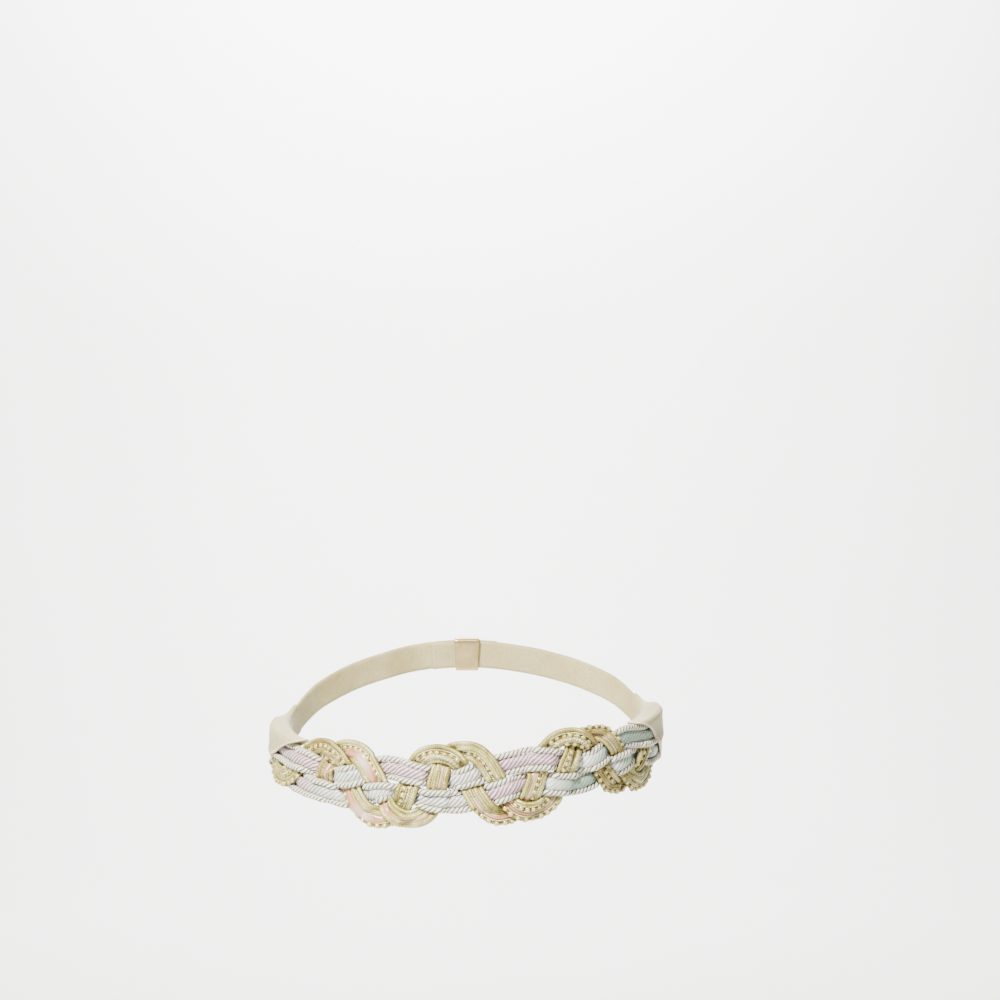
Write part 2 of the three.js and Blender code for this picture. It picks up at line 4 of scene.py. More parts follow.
import bpy
import numpy as np
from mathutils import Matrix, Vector


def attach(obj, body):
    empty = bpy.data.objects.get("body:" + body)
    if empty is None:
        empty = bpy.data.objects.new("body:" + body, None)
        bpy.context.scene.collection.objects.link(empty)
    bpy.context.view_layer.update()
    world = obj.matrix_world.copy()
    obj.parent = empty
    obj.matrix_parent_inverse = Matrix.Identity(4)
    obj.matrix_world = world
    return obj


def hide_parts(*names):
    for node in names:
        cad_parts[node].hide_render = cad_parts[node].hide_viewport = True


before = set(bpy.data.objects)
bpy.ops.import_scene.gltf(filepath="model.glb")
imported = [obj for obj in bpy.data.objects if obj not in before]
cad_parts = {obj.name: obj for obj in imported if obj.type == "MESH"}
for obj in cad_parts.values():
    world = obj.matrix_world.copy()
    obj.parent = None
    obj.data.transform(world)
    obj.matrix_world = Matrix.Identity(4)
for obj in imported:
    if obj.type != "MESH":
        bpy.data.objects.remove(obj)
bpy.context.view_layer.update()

# Units: lengths are in millimetres until a mesh or material is made, in metres
MM = 0.001
BODY = "root"
FULL_TURN = 2 * math.pi

# The hips that the belt lies on
HIP_HALF_WIDTH = 153.0
HIP_HALF_DEPTH = 116.0
RISE_TO_THE_RIGHT = 8.0
RISE_AT_SIDES = 2.0
RISE_AT_BACK = 50.0
SIDE_TAPER = 0.12
BACK_TAPER = 0.22
FRONT_LEAN = math.radians(5)
SIDE_LEAN = math.radians(2)
HIP_SAMPLES = 1440

# Cord thicknesses
GIMP_RADIUS = 2.0
PEARL_RADIUS = 2.25
SATIN_RADIUS = 1.8
SATIN_SWELL = 0.9
SATIN_SWELL_LENGTH = 18.0
SATIN_SWELL_AT = -84
CREAM_ROPE_RADIUS = 2.3
ROPE_FULLNESS = 1.15
COLOURED_ROPE_RADIUS = 2.25

# The weave and its settling, as in the part's source
CORD_GAP = 0.15
LIFT = 2.7
LIFT_FADE = 3.0
RISE_PULL = 30.0
FALL_PULL = 25.0
STEEP_CLIMB = 30.0
LEAST_SLOPE_SINE = 0.6
BRAID_END = 222.0
FIRST_WAVE = -125.0
CREST_STEPS = 27
ROPE_STEP = 2.8
SETTLE_ROUNDS = 400
SETTLE_REACH = 8.5
SETTLE_GAIN = 1.1
SMOOTH_SHARE = 0.5
SAFE_LIFT = 1.5
SIDE_SHARE = 0.2
COHESION = 0.08
COHESION_SLACK = 1.1
NARROW_GAP = 3.0
GAP_SHARE = 0.9
LAST_ROUNDS = 40
WAVE_LENGTHS = (2.9, 5.3, 9.7)
WAVE_HEIGHT = 0.09
WAVE_SEED = 5

# Leather and keeper
LEATHER = 1.6
MOUTH_BACK = 24.0
MOUTH_BACK_OVER = 7.0
STRAP_HALF_HEIGHT = 12.0
STRAP_HALF_THICKNESS = 1.1
STRAP_START = 244.0
STRAP_END = 448.8
STRAP_LOW = -4.5
STRAP_HIGH = 5.0
STRAP_RISE_FROM = 225.0
STRAP_RISE_TO = 290.0
STRAP_APART = 1.35
STRAP_APART_FROM = 354.0
STRAP_APART_TO = 376.0
STRAP_CORNER = 0.9
STRAP_WAVE = 0.5
STRAP_WAVE_LENGTH = 23.0
STRAP_WAVE_FADE_FROM = 320.0
KEEPER_HALF_LENGTH = 9.0
KEEPER_HALF_HEIGHT = 12.6
KEEPER_HALF_THICKNESS = 3.3
KEEPER_WALL = 1.8
KEEPER_CORNER = 1.6
KEEPER_SIDES = 56
KEEPER_RINGS = 12

# Crests and troughs of the two gold strands: s along the belt, v up the belt
GOLD_A_TURNS = [
    (-222, -9.5), (-182, -14), (-135, -13.5), (-92, 20), (-44, -24.5), (-1, 22.5),
    (46, -25.5), (104, 23), (152, -22.5), (196, -13), (222, -10),
]
GOLD_B_TURNS = [
    (-222, 6), (-174, -11.5), (-120, 18.5), (-70, -25.5), (-21, 20.5),
    (27, -26.5), (83, 24.5), (130, -17.5), (192, 6), (222, 6),
]

# Middle lines of the two rope strands
UPPER_ROPE_POINTS = [
    (-222, 6.5), (-190, 6), (-155, 8.5), (-134, 8), (-114, 4.5), (-92, 3.5), (-63, 11), (-31, 6), (-6, 3.5),
    (16, 8), (51, 13), (94, 6), (114, 9), (137, 13.5), (158, 10), (176, 7.5), (195, 6.5), (222, 6.5),
]
LOWER_ROPE_POINTS = [
    (-222, -10.5), (-190, -11.5), (-155, -9.5), (-122, -10), (-92, -12.5), (-63, -8.5), (-31, -13),
    (-6, -14.5), (16, -10.5), (51, -6.5), (90, -9.5), (119, -5.5), (140, -5), (165, -8), (190, -10.5),
    (222, -10.5),
]


# Lines and rows of numbers
def unit(vectors):
    return vectors / np.linalg.norm(vectors, axis=-1, keepdims=True)


def distances_along(points):
    steps = np.linalg.norm(np.diff(points, axis=0), axis=-1)
    return np.concatenate([[0], np.cumsum(steps)])


def read_rows(at, places, rows):
    return np.stack([np.interp(at, places, column) for column in rows.T], -1)


def with_ends(rows, count=1):
    """The rows with some more beyond each end, mirrored through it."""
    return np.pad(rows, [(count, count), (0, 0)], mode="reflect", reflect_type="odd")


def turns_round(count):
    return np.arange(count) / count * FULL_TURN


def smoothstep(x, low, high):
    share = np.clip((x - low) / (high - low), 0, 1)
    return share * share * (3 - 2 * share)


# Hip surface: the band's middle line and its directions
def band_height(angle):
    side = np.sin(angle)
    behind = (1 - np.cos(angle)) / 2
    slope = RISE_TO_THE_RIGHT * side * (1 - behind**2)
    return slope + RISE_AT_SIDES * side**2 + RISE_AT_BACK * behind**3


def hip_point(angle):
    height = band_height(angle)
    cosine = np.cos(angle)
    half_width = HIP_HALF_WIDTH - SIDE_TAPER * height
    half_depth = HIP_HALF_DEPTH - np.where(cosine < 0, BACK_TAPER * height, 0)
    return np.stack([half_width * np.sin(angle), -half_depth * cosine, height], -1)


def hip_stations():
    angle = np.linspace(-math.pi, math.pi, HIP_SAMPLES + 1)
    step = math.pi / HIP_SAMPLES
    point = hip_point(angle)
    along = unit(hip_point(angle + step) - hip_point(angle - step))
    out = unit(np.stack([along[:, 1], -along[:, 0], np.zeros(len(angle))], -1))
    lean = (FRONT_LEAN + (SIDE_LEAN - FRONT_LEAN) * np.sin(angle) ** 2)[:, None]
    up = np.cos(lean) * np.array([0, 0, 1.0]) - np.sin(lean) * out
    up = unit(up - (up * along).sum(-1, keepdims=True) * along)
    s = distances_along(point)
    return s - s[HIP_SAMPLES // 2], np.concatenate([point, up, np.cross(along, up)], -1)


STATION_S, STATION_ROWS = hip_stations()
LOOP_START, LOOP_END = STATION_S[[0, -1]]
LOOP_LENGTH = LOOP_END - LOOP_START


def band_rows(s):
    """Point, up and out of the band at distances s, carried round the loop."""
    at = LOOP_START + np.mod(np.asarray(s, float) - LOOP_START, LOOP_LENGTH)
    return read_rows(at, STATION_S, STATION_ROWS)


def band_point(s, v, w):
    rows = band_rows(s)
    v = np.asarray(v, float)[..., None]
    w = np.asarray(w, float)[..., None]
    return rows[..., 0:3] + v * rows[..., 3:6] + w * rows[..., 6:9]


# Plan routes of the cords
def wave_route(turns, offset):
    """Level curves from turn to turn, shifted so that neighbouring cords stay parallel."""
    route = []
    for k, ((s0, v0), (s1, v1)) in enumerate(zip(turns, turns[1:])):
        span = s1 - s0
        climb = v1 - v0
        steep = min(1, abs(climb) / STEEP_CLIMB)
        pull = span / 3 + ((RISE_PULL if climb > 0 else FALL_PULL) - span / 3) * steep
        slope = math.atan2(abs(climb) * 1.5, 1.5 * span - pull)
        sideways = offset / max(math.sin(slope), LEAST_SLOPE_SINE)
        shift = (4 / 3) * sideways * np.sign(climb) * steep
        handles = np.array([
            (s0, v0 + offset), (s0 + pull - shift, v0 + offset),
            (s1 - pull - shift, v1 + offset), (s1, v1 + offset),
        ])
        t = np.linspace(0, 1, CREST_STEPS + 1)[:, None]
        weights = [(1 - t) ** 3, 3 * t * (1 - t) ** 2, 3 * t * t * (1 - t), t**3]
        points = sum(weight * handle for weight, handle in zip(weights, handles))
        route.append(points if k == 0 else points[1:])
    return np.concatenate(route)


def centripetal_piece(p0, p1, p2, p3, weight):
    """Point on a centripetal Catmull-Rom span between p1 and p2."""
    gaps = [np.linalg.norm(b - a) ** 0.5 for a, b in ((p0, p1), (p1, p2), (p2, p3))]
    first = (p1 - p0) / gaps[0] - (p2 - p0) / (gaps[0] + gaps[1]) + (p2 - p1) / gaps[1]
    second = (p2 - p1) / gaps[1] - (p3 - p1) / (gaps[1] + gaps[2]) + (p3 - p2) / gaps[2]
    first = first * gaps[1]
    second = second * gaps[1]
    cubic = 2 * p1 - 2 * p2 + first + second
    square = -3 * p1 + 3 * p2 - 2 * first - second
    return p1 + first * weight + square * weight**2 + cubic * weight**3


def rope_route(points, offset):
    rows = with_ends(np.array(points, float) + [0, offset])
    count = round(2 * BRAID_END / ROPE_STEP)
    route = []
    for k in range(count + 1):
        place = k / count * (len(points) - 1)
        first = min(int(place), len(points) - 2)
        route.append(centripetal_piece(*rows[first:first + 4], place - first))
    return np.array(route)


# Cords and strands
class Cord:
    """One cord of a strand: its radius, and where it swells."""

    def __init__(self, radius, swell_at=None):
        self.radius = radius
        self.swell_at = swell_at

    def radii_at(self, s):
        if self.swell_at is None:
            return np.full(len(s), self.radius)
        away = (s - self.swell_at) / SATIN_SWELL_LENGTH
        return self.radius + SATIN_SWELL * np.exp(-away * away)


def gold_cords(third_radius):
    """Pearls, satin, pearls or gimp, and gimp."""
    return [Cord(PEARL_RADIUS), Cord(SATIN_RADIUS, SATIN_SWELL_AT), Cord(third_radius), Cord(GIMP_RADIUS)]


def rope_cords():
    """A cream rope, the two halves of the wide coloured cord, and a cream rope."""
    radii = (CREAM_ROPE_RADIUS, COLOURED_ROPE_RADIUS, COLOURED_ROPE_RADIUS, CREAM_ROPE_RADIUS)
    return [Cord(radius) for radius in radii]


class Strand:
    """Cords side by side, right-hand side first when the strand is followed along +s."""

    def __init__(self, name, cords, table, route):
        self.name = name
        self.cords = cords
        width = sum(2 * cord.radius + CORD_GAP for cord in cords) - CORD_GAP
        edge = -width / 2
        for cord in cords:
            cord.plan = route(table, edge + cord.radius)
            edge += 2 * cord.radius + CORD_GAP
        self.half_width = width / 2
        self.middle = route(table, 0)


GOLD_A = Strand("gold_strand_a", gold_cords(GIMP_RADIUS), GOLD_A_TURNS, wave_route)
GOLD_B = Strand("gold_strand_b", gold_cords(PEARL_RADIUS), GOLD_B_TURNS, wave_route)
UPPER_ROPES = Strand("upper_rope_strand", rope_cords(), UPPER_ROPE_POINTS, rope_route)
LOWER_ROPES = Strand("lower_rope_strand", rope_cords(), LOWER_ROPE_POINTS, rope_route)
STRANDS = [GOLD_A, GOLD_B, UPPER_ROPES, LOWER_ROPES]
OVER = [(GOLD_A, UPPER_ROPES), (GOLD_B, LOWER_ROPES)]
UNDER = [(GOLD_A, LOWER_ROPES), (GOLD_B, UPPER_ROPES)]


def over_under(first, second, plan):
    """1 where the first strand lies over the second, -1 where it lies under, else 0."""
    if STRANDS.index(first) > STRANDS.index(second):
        return -over_under(second, first, plan)
    pair = (first, second)
    if pair == (GOLD_A, GOLD_B):
        return np.where((plan[:, 1] > 0) | (plan[:, 0] < FIRST_WAVE), -1.0, 1.0)
    return np.full(len(plan), float(pair in OVER) - float(pair in UNDER))


def lift_of(strand, plan, radii):
    lift = np.zeros(len(plan))
    for other in STRANDS:
        if other is strand:
            continue
        away = np.linalg.norm(plan[:, None] - other.middle[None], axis=-1).min(1)
        cover = np.clip((other.half_width + radii + CORD_GAP - away) / LIFT_FADE, 0, 1)
        lift += over_under(strand, other, plan) * cover
    return LIFT * np.clip(lift, -1, 1)


# Settling: the nodes of all cords, pushed apart until the cords rest on each other
def handmade_waves(generator, s):
    """Small uneven shifts up and out of the band along a cord."""
    phases = generator.uniform(0, FULL_TURN, (len(WAVE_LENGTHS), 2))
    return sum(WAVE_HEIGHT * np.sin(s / length + phase) for length, phase in zip(WAVE_LENGTHS, phases))


class Settler:
    """All nodes of all cords in one array, with the pairs of nodes that may touch."""

    def __init__(self):
        self.cords = []
        first = 0
        for strand in STRANDS:
            for cord in strand.cords:
                cord.strand = strand
                cord.own = slice(first, first + len(cord.plan))
                cord.radii = cord.radii_at(cord.plan[:, 0])
                cord.places = np.column_stack([cord.plan, lift_of(strand, cord.plan, cord.radii)])
                self.cords.append(cord)
                first = cord.own.stop
        self.places = np.concatenate([cord.places for cord in self.cords])
        self.radii = np.concatenate([cord.radii for cord in self.cords])
        self.pair_up()

    def pair_up(self):
        rows = []
        for a, one in enumerate(self.cords):
            for other in self.cords[a + 1:]:
                away = one.plan[:, None] - other.plan[None]
                near = np.argwhere((away**2).sum(-1) <= SETTLE_REACH**2)
                order = over_under(one.strand, other.strand, one.plan[near[:, 0]])
                apart = np.full(len(near), one.strand is not other.strand)
                rows.append(np.column_stack([near + [one.own.start, other.own.start], order, apart]))
        rows = np.concatenate(rows)
        self.i = rows[:, 0].astype(int)
        self.j = rows[:, 1].astype(int)
        self.order = rows[:, 2]
        self.crossing = rows[:, 3] > 0
        self.reach = self.radii[self.i] + self.radii[self.j] + CORD_GAP

    def gather(self, pushes, weights, gain):
        """Mean of the pairs' pushes at each node, times a gain."""
        size = len(self.places)
        sums = [np.bincount(self.i, push, size) - np.bincount(self.j, push, size) for push in pushes.T]
        counts = np.bincount(self.i, weights, size) + np.bincount(self.j, weights, size)
        return np.stack(sums, -1) * (gain / np.maximum(counts, 1))[:, None]

    def contact_pushes(self, moved):
        between = moved[self.i] - moved[self.j]
        right = (self.order == 0) | (self.order * between[:, 2] > SAFE_LIFT)
        distance = np.linalg.norm(between, axis=-1)
        flat = np.hypot(between[:, 0], between[:, 1])
        close = np.where(right, distance, flat) < self.reach
        parting = between * (0.5 * (self.reach - distance) / np.maximum(distance, 1e-9))[:, None]
        rise = np.sqrt(np.maximum(self.reach**2 - flat**2, 0)) - self.order * between[:, 2]
        passing = between * SIDE_SHARE
        passing[:, 2] = 0.5 * self.order * rise
        pushes = np.where(right[:, None], parting, passing) * close[:, None]
        return self.gather(pushes, close, SETTLE_GAIN)

    def cohesion(self, moved, pushes):
        for strand in STRANDS:
            for one, other in zip(strand.cords, strand.cords[1:]):
                between = moved[one.own] - moved[other.own]
                length = np.linalg.norm(between, axis=-1)
                slack = length - COHESION_SLACK * (one.radii + other.radii)
                pull = between * (COHESION * np.maximum(slack, 0) / length)[:, None]
                pushes[one.own] -= pull
                pushes[other.own] += pull

    def smooth(self, moves):
        result = moves.copy()
        for cord in self.cords:
            own = moves[cord.own]
            mean = (own[:-2] + own[2:]) / 2
            result[cord.own][1:-1] += (mean - own[1:-1]) * SMOOTH_SHARE
        return result

    def close_gaps(self):
        """Moves towards each other for cords of different strands with a narrow gap between them."""
        between = self.places[self.i] - self.places[self.j]
        flat = np.hypot(between[:, 0], between[:, 1])
        slack = flat - self.reach
        share = (self.crossing & (slack > 0) & (slack < NARROW_GAP)) * np.abs(between[:, 1] / flat)**6
        shifts = np.zeros_like(between)
        shifts[:, 1] = -np.sign(between[:, 1]) * slack * share
        return self.gather(shifts, share, GAP_SHARE)

    def rounds(self, count, moves):
        for _ in range(count):
            moved = self.places + moves
            pushes = self.contact_pushes(moved)
            self.cohesion(moved, pushes)
            moves = self.smooth(moves + pushes)
        self.places = self.places + moves

    def settle(self):
        self.rounds(SETTLE_ROUNDS, np.zeros_like(self.places))
        self.rounds(LAST_ROUNDS, self.close_gaps())
        away = np.linalg.norm(self.places[self.i] - self.places[self.j], axis=-1)
        room = np.where(self.crossing, away / (self.radii[self.i] + self.radii[self.j]), 1)
        flat = np.ones(len(self.places))
        np.minimum.at(flat, self.i, room)
        np.minimum.at(flat, self.j, room)
        generator = np.random.default_rng(WAVE_SEED)
        for cord in self.cords:
            cord.places = self.places[cord.own]
            cord.places[:, 1:] += handmade_waves(generator, cord.places[:, :1])
            cord.flat = flat[cord.own]


# Mesh making
ROUTE_FINENESS = 6


def add_to_scene(name, data):
    obj = bpy.data.objects.new(name, data)
    bpy.context.scene.collection.objects.link(obj)
    return obj


def round_once(pairs, layer_name, faces):
    """Corner uvs, with the last quads round a tube ending at 1 instead of going back to 0."""
    if layer_name == "cord":
        quads = sum(len(face) == 4 for face in faces)
        around = pairs[:4 * quads, 1].reshape(-1, 4)
        around[(around < 0.5) & (around.max(1, keepdims=True) - around > 0.5)] += 1
    return pairs


def make_piece(name, points, faces, material, node, uvs=None):
    """Smooth piece that stands in for a node; uvs maps a layer's name to a pair per vertex."""
    mesh = bpy.data.meshes.new(name)
    mesh.from_pydata((points * MM).tolist(), [], faces)
    for layer_name, pairs in (uvs or {}).items():
        layer = mesh.uv_layers.new(name=layer_name)
        corner = np.empty(len(mesh.loops), int)
        mesh.loops.foreach_get("vertex_index", corner)
        layer.data.foreach_set("uv", round_once(pairs[corner], layer_name, faces).ravel())
    mesh.polygons.foreach_set("use_smooth", np.ones(len(mesh.polygons), bool))
    mesh.materials.append(material)
    mesh.update()
    obj = add_to_scene(name, mesh)
    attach(obj, BODY)
    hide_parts(node)


def ring_faces(rings, size, joined=False):
    """Quads between rings of equal size; the ends are closed, or joined to each other."""
    faces = []
    k = np.arange(size)
    after = (k + 1) % size
    for r in range(rings if joined else rings - 1):
        a = r * size
        b = ((r + 1) % rings) * size
        faces.extend(np.stack([a + k, a + after, b + after, b + k], -1).tolist())
    if not joined:
        faces.append(list(range(size))[::-1])
        faces.append([(rings - 1) * size + q for q in range(size)])
    return faces


class Route:
    """A cord's settled route, resampled at an even step along its length in space."""

    def __init__(self, places, radii, flat, step):
        rows = self.finer(np.column_stack([places, radii, flat]), ROUTE_FINENESS)
        gone = distances_along(band_point(rows[:, 0], rows[:, 1], rows[:, 2]))
        count = max(2, round(gone[-1] / step))
        self.distance = np.linspace(0, gone[-1], count + 1)
        self.s, self.v, self.w, self.radii, self.flat = read_rows(self.distance, gone, rows).T
        self.points = band_point(self.s, self.v, self.w)
        self.along = unit(np.gradient(self.points, axis=0))
        self.side = unit(np.cross(band_rows(self.s)[:, 6:9], self.along))
        self.out = np.cross(self.along, self.side)

    def part(self, start, end):
        """The route from where it first reaches one distance s to where it reaches another."""
        first = int(np.argmax(self.s >= start))
        last = len(self.s) if end is None else int(np.argmax(self.s >= end)) + 1
        piece = copy.copy(self)
        for key, rows in vars(self).items():
            setattr(piece, key, rows[first:last])
        return piece

    @staticmethod
    def finer(rows, times):
        """Catmull-Rom points between the rows."""
        padded = with_ends(rows)
        p0, p1, p2, p3 = padded[:-3], padded[1:-2], padded[2:-1], padded[3:]
        pieces = []
        for k in range(times):
            t = k / times
            pieces.append(0.5 * (2 * p1 + (p2 - p0) * t + (2 * p0 - 5 * p1 + 4 * p2 - p3) * t**2
                                 + (3 * p1 - p0 - 3 * p2 + p3) * t**3))
        fine = np.stack(pieces, 1).reshape(-1, rows.shape[1])
        return np.concatenate([fine, rows[-1:]])

    def sweep(self, half_widths, half_thicknesses, sides, shape):
        """Points and uvs of a tube; shape(angles, distances) gives its share of the radius."""
        angle = turns_round(sides)
        share = shape(angle[None], self.distance[:, None])
        wide = (half_widths[:, None] * share * np.cos(angle))[..., None]
        thick = (half_thicknesses[:, None] * share * np.sin(angle))[..., None]
        points = self.points[:, None] + self.side[:, None] * wide + self.out[:, None] * thick
        cord = np.stack(np.broadcast_arrays(self.distance[:, None], angle[None] / FULL_TURN), -1)
        belt = np.stack(np.broadcast_arrays(self.s[:, None], self.v[:, None] + 0 * angle), -1)
        uvs = {"cord": cord.reshape(-1, 2), "belt": belt.reshape(-1, 2) * MM}
        return points.reshape(-1, 3), uvs


def add_tube(name, route, half_widths, half_thicknesses, sides, shape, slot, material, strand):
    """One cord of a strand as a piece."""
    points, uvs = route.sweep(half_widths, half_thicknesses, sides, shape)
    make_piece(name, points, ring_faces(len(route.s), sides), material, strand.name, uvs)


def ply_shape(plies, bulge, lead, depth_at=None):
    """Outline of twisted plies, each a round bulge, turning once in each lead."""
    def shape(angle, distance):
        turned = angle + FULL_TURN * distance / lead
        sector = FULL_TURN / plies
        local = np.mod(turned + sector / 2, sector) - sector / 2
        rho = 1 - bulge
        outline = bulge * np.cos(local) + np.sqrt(rho**2 - (bulge * np.sin(local)) ** 2)
        if depth_at is None:
            return outline
        return 1 + (outline - 1) * depth_at[:, None]
    return shape


# Twisted ropes
CREAM_PLIES = 3
CREAM_LEAD = 10.5
CREAM_BULGE = 0.42
CREAM_STEP = 0.55
CREAM_SIDES = 18
WIDE_LEAD = 26.0
WIDE_PLIES = 7
WIDE_BULGE = 0.58
WIDE_STEP = 0.65
WIDE_SIDES = 56
WIDE_SPREAD = 4.75
WIDE_THICKNESS = 2.5
SPREAD_WHEN_FLAT = 0.35
LEAST_FLATNESS = 0.45
LEAST_OTHER_FLATNESS = 0.5


def pressed(route):
    """Half widths and half thicknesses of a cord that is pressed flat where others cross it."""
    flat = np.clip(route.flat, LEAST_FLATNESS, 1)
    return route.radii * (1 + SPREAD_WHEN_FLAT * (1 - flat)), route.radii * flat


def add_cream_rope(name, cord, strand, material):
    route = Route(cord.places, cord.radii, cord.flat, CREAM_STEP)
    route.radii = route.radii * ROPE_FULLNESS
    shape = ply_shape(CREAM_PLIES, CREAM_BULGE, CREAM_LEAD)
    add_tube(name, route, *pressed(route), CREAM_SIDES, shape, "cream_rope", material, strand)


def add_wide_cord(name, strand, twist_stops, material):
    """The wide coloured cord between a strand's two cream ropes."""
    lower, upper = strand.cords[1], strand.cords[2]
    flat = np.minimum(lower.flat, upper.flat)
    route = Route((lower.places + upper.places) / 2, lower.radii, flat, WIDE_STEP)
    depth = np.interp(route.s, list(twist_stops), list(twist_stops.values()))
    shape = ply_shape(WIDE_PLIES, WIDE_BULGE, WIDE_LEAD, depth)
    widths = np.full(len(route.s), WIDE_SPREAD)
    thicknesses = WIDE_THICKNESS * np.clip(route.flat, LEAST_OTHER_FLATNESS, 1)
    add_tube(name, route, widths, thicknesses, WIDE_SIDES, shape, "coloured_cord", material, strand)


# Gimp, satin, threads and pearls
GIMP_PITCH = 2.0
GIMP_RIB = 0.09
GIMP_SIDES = 12
SATIN_SIDES = 24
SATIN_FLATNESS = 0.8
SATIN_WIDTH = 0.9
SATIN_SPREAD = 0.85
SATIN_LIFT = 0.35
SATIN_FOLD = 0.03
SATIN_FOLD_LENGTH = 7.0
CORD_PLIES = 2
CORD_BULGE = 0.4
CORD_LEAD = 5.0
THREAD_RADIUS = 0.8
THREAD_LEAD = 3.4
THREAD_STEP = 0.6
THREAD_SIDES = 8
THREAD_LIFT = 1.2
PEARL_RINGS = 9
PEARL_SIDES = 14
PEARL_SHARE = 1.04
PEARL_SHIFT = 0.2
PEARL_UNEVENNESS = 0.05
PEARL_SEED = 7
BASE_WIDTH = 0.85
BASE_THICKNESS = 0.5
STEPS = {"gimp": 0.4, "cord": 0.5, "satin": 1.0, "pearls": 0.5}

# What each cord of the gold strands shows from a distance s on
LANES = {
    "gold_strand_a": [
        {-230: "pearls", -128: "gimp", 26: "pearls", 68: "gimp", 132: "pearls"},
        {-230: "cord", -128: "satin", -16: "pearls", 26: "satin", 68: "cord", 94: "satin", 132: "cord"},
        {-230: "pearls", -128: "gimp", -102: "pearls", -66: "gimp", 26: "pearls", 94: "gimp"},
        {-230: "gimp", 94: "pearls", 132: "gimp"},
    ],
    "gold_strand_b": [
        {-230: "pearls", -52: "gimp", 4: "pearls", 41: "gimp", 62: "pearls"},
        {-230: "gimp", -96: "satin", -52: "cord", 4: "satin", 41: "pearls", 62: "cord", 105: "gimp"},
        {-230: "pearls", -96: "gimp", -52: "pearls", 4: "gimp", 41: "satin", 62: "pearls"},
        {-230: "gimp"},
    ],
}
PEARL_SPACING = {"gold_strand_a": [6.2, 4.9, 4.9, 6.4], "gold_strand_b": [6.2, 5.2, 5.6, 6.0]}


def gimp_ribs(angle, distance):
    return 1 + GIMP_RIB * np.cos(FULL_TURN * distance / GIMP_PITCH + angle)


def satin_folds(angle, distance):
    return 1 + SATIN_FOLD * np.cos(3 * angle + distance / SATIN_FOLD_LENGTH)


CORD_SHAPES = {"gimp": gimp_ribs, "cord": ply_shape(CORD_PLIES, CORD_BULGE, CORD_LEAD)}
THREAD_SHAPE = ply_shape(CORD_PLIES, CORD_BULGE, THREAD_LEAD)


def add_satin(name, route, strand, material):
    """A flat satin cord, widest where it swells."""
    widths, thicknesses = pressed(route)
    swell = (route.radii - SATIN_RADIUS) / SATIN_SWELL
    widths = widths * (SATIN_WIDTH + SATIN_SPREAD * swell)
    thicknesses = thicknesses * SATIN_FLATNESS
    route.points = route.points + (SATIN_LIFT * swell)[:, None] * route.out
    add_tube(name, route, widths, thicknesses, SATIN_SIDES, satin_folds, "pink_satin", material, strand)


def add_thread(name, one, other, face, strand, material):
    """A fine gold thread in the valley between two cords, on the outer or inner face."""
    flat = np.minimum(one.flat, other.flat)
    places = (one.places + other.places) / 2
    places[:, 2] += face * THREAD_LIFT * flat
    route = Route(places, np.full(len(places), THREAD_RADIUS), flat, THREAD_STEP)
    thicknesses = route.radii * np.clip(route.flat, LEAST_OTHER_FLATNESS, 1)
    add_tube(name, route, route.radii, thicknesses, THREAD_SIDES, THREAD_SHAPE, "gold_gimp", material, strand)


def unit_pearl():
    """Points and faces of a round bead, flat at its two drilled ends."""
    polar = np.linspace(0, math.pi, PEARL_RINGS + 2)[1:-1]
    turn = turns_round(PEARL_SIDES)
    ring = np.stack([np.repeat(np.cos(polar), PEARL_SIDES),
                     (np.sin(polar)[:, None] * np.cos(turn)).ravel(),
                     (np.sin(polar)[:, None] * np.sin(turn)).ravel()], -1)
    return ring, ring_faces(PEARL_RINGS, PEARL_SIDES)


def add_pearls(name, route, spacing, strand, material, base_material):
    """Beads in a row on a flat metallic braid."""
    length = route.distance[-1] - route.distance[0]
    count = max(1, round(length / spacing))
    at = route.distance[0] + (np.arange(count) + 0.5) / count * length
    bead, bead_faces = unit_pearl()
    generator = np.random.default_rng(PEARL_SEED * len(name) + count)
    points, faces = [], []
    # Bead uvs: how straight each point faces out of the band or into it, which the pearl material turns into
    # painted shade, and where it lies along the bead.
    facing = np.tile(np.stack([np.abs(bead[:, 2]), bead[:, 0]], -1), (count, 1))
    for k, index in enumerate(np.searchsorted(route.distance, at)):
        size = PEARL_SHARE * route.radii[index] * (1 + PEARL_UNEVENNESS * generator.standard_normal())
        axes = np.stack([route.along[index], route.side[index], route.out[index]])
        place = route.points[index] + PEARL_SHIFT * generator.standard_normal(3)
        points.append(place + size * bead @ axes)
        faces.extend([[q + k * len(bead) for q in face] for face in bead_faces])
    make_piece(name, np.concatenate(points), faces, material, strand.name, {"bead": facing})
    widths, thicknesses = pressed(route)
    add_tube(name + "_base", route, BASE_WIDTH * widths, BASE_THICKNESS * thicknesses, GIMP_SIDES,
             THREAD_SHAPE, "gold_gimp", base_material, strand)


def add_lane(strand, k, cord, looks):
    """One cord of a gold strand, each stretch in its own kind."""
    lane = LANES[strand.name][k]
    ends = [*lane, None][1:]
    for stretch, ((start, kind), end) in enumerate(zip(lane.items(), ends), 1):
        route = Route(cord.places, cord.radii, cord.flat, STEPS[kind]).part(start, end)
        name = f"{strand.name}_cord_{k + 1}_{kind}_{stretch}"
        if kind == "pearls":
            add_pearls(name, route, PEARL_SPACING[strand.name][k], strand, looks["pearls"], looks["base"])
        elif kind == "satin":
            add_satin(name, route, strand, looks[kind])
        else:
            shape = CORD_SHAPES[kind]
            add_tube(name, route, *pressed(route), GIMP_SIDES, shape, "gold_gimp", looks[kind], strand)


# Leather caps, straps and the keeper
CORNER_POINTS = 9
SMOOTH_POINTS = 241
SMOOTH_WINDOW = 29
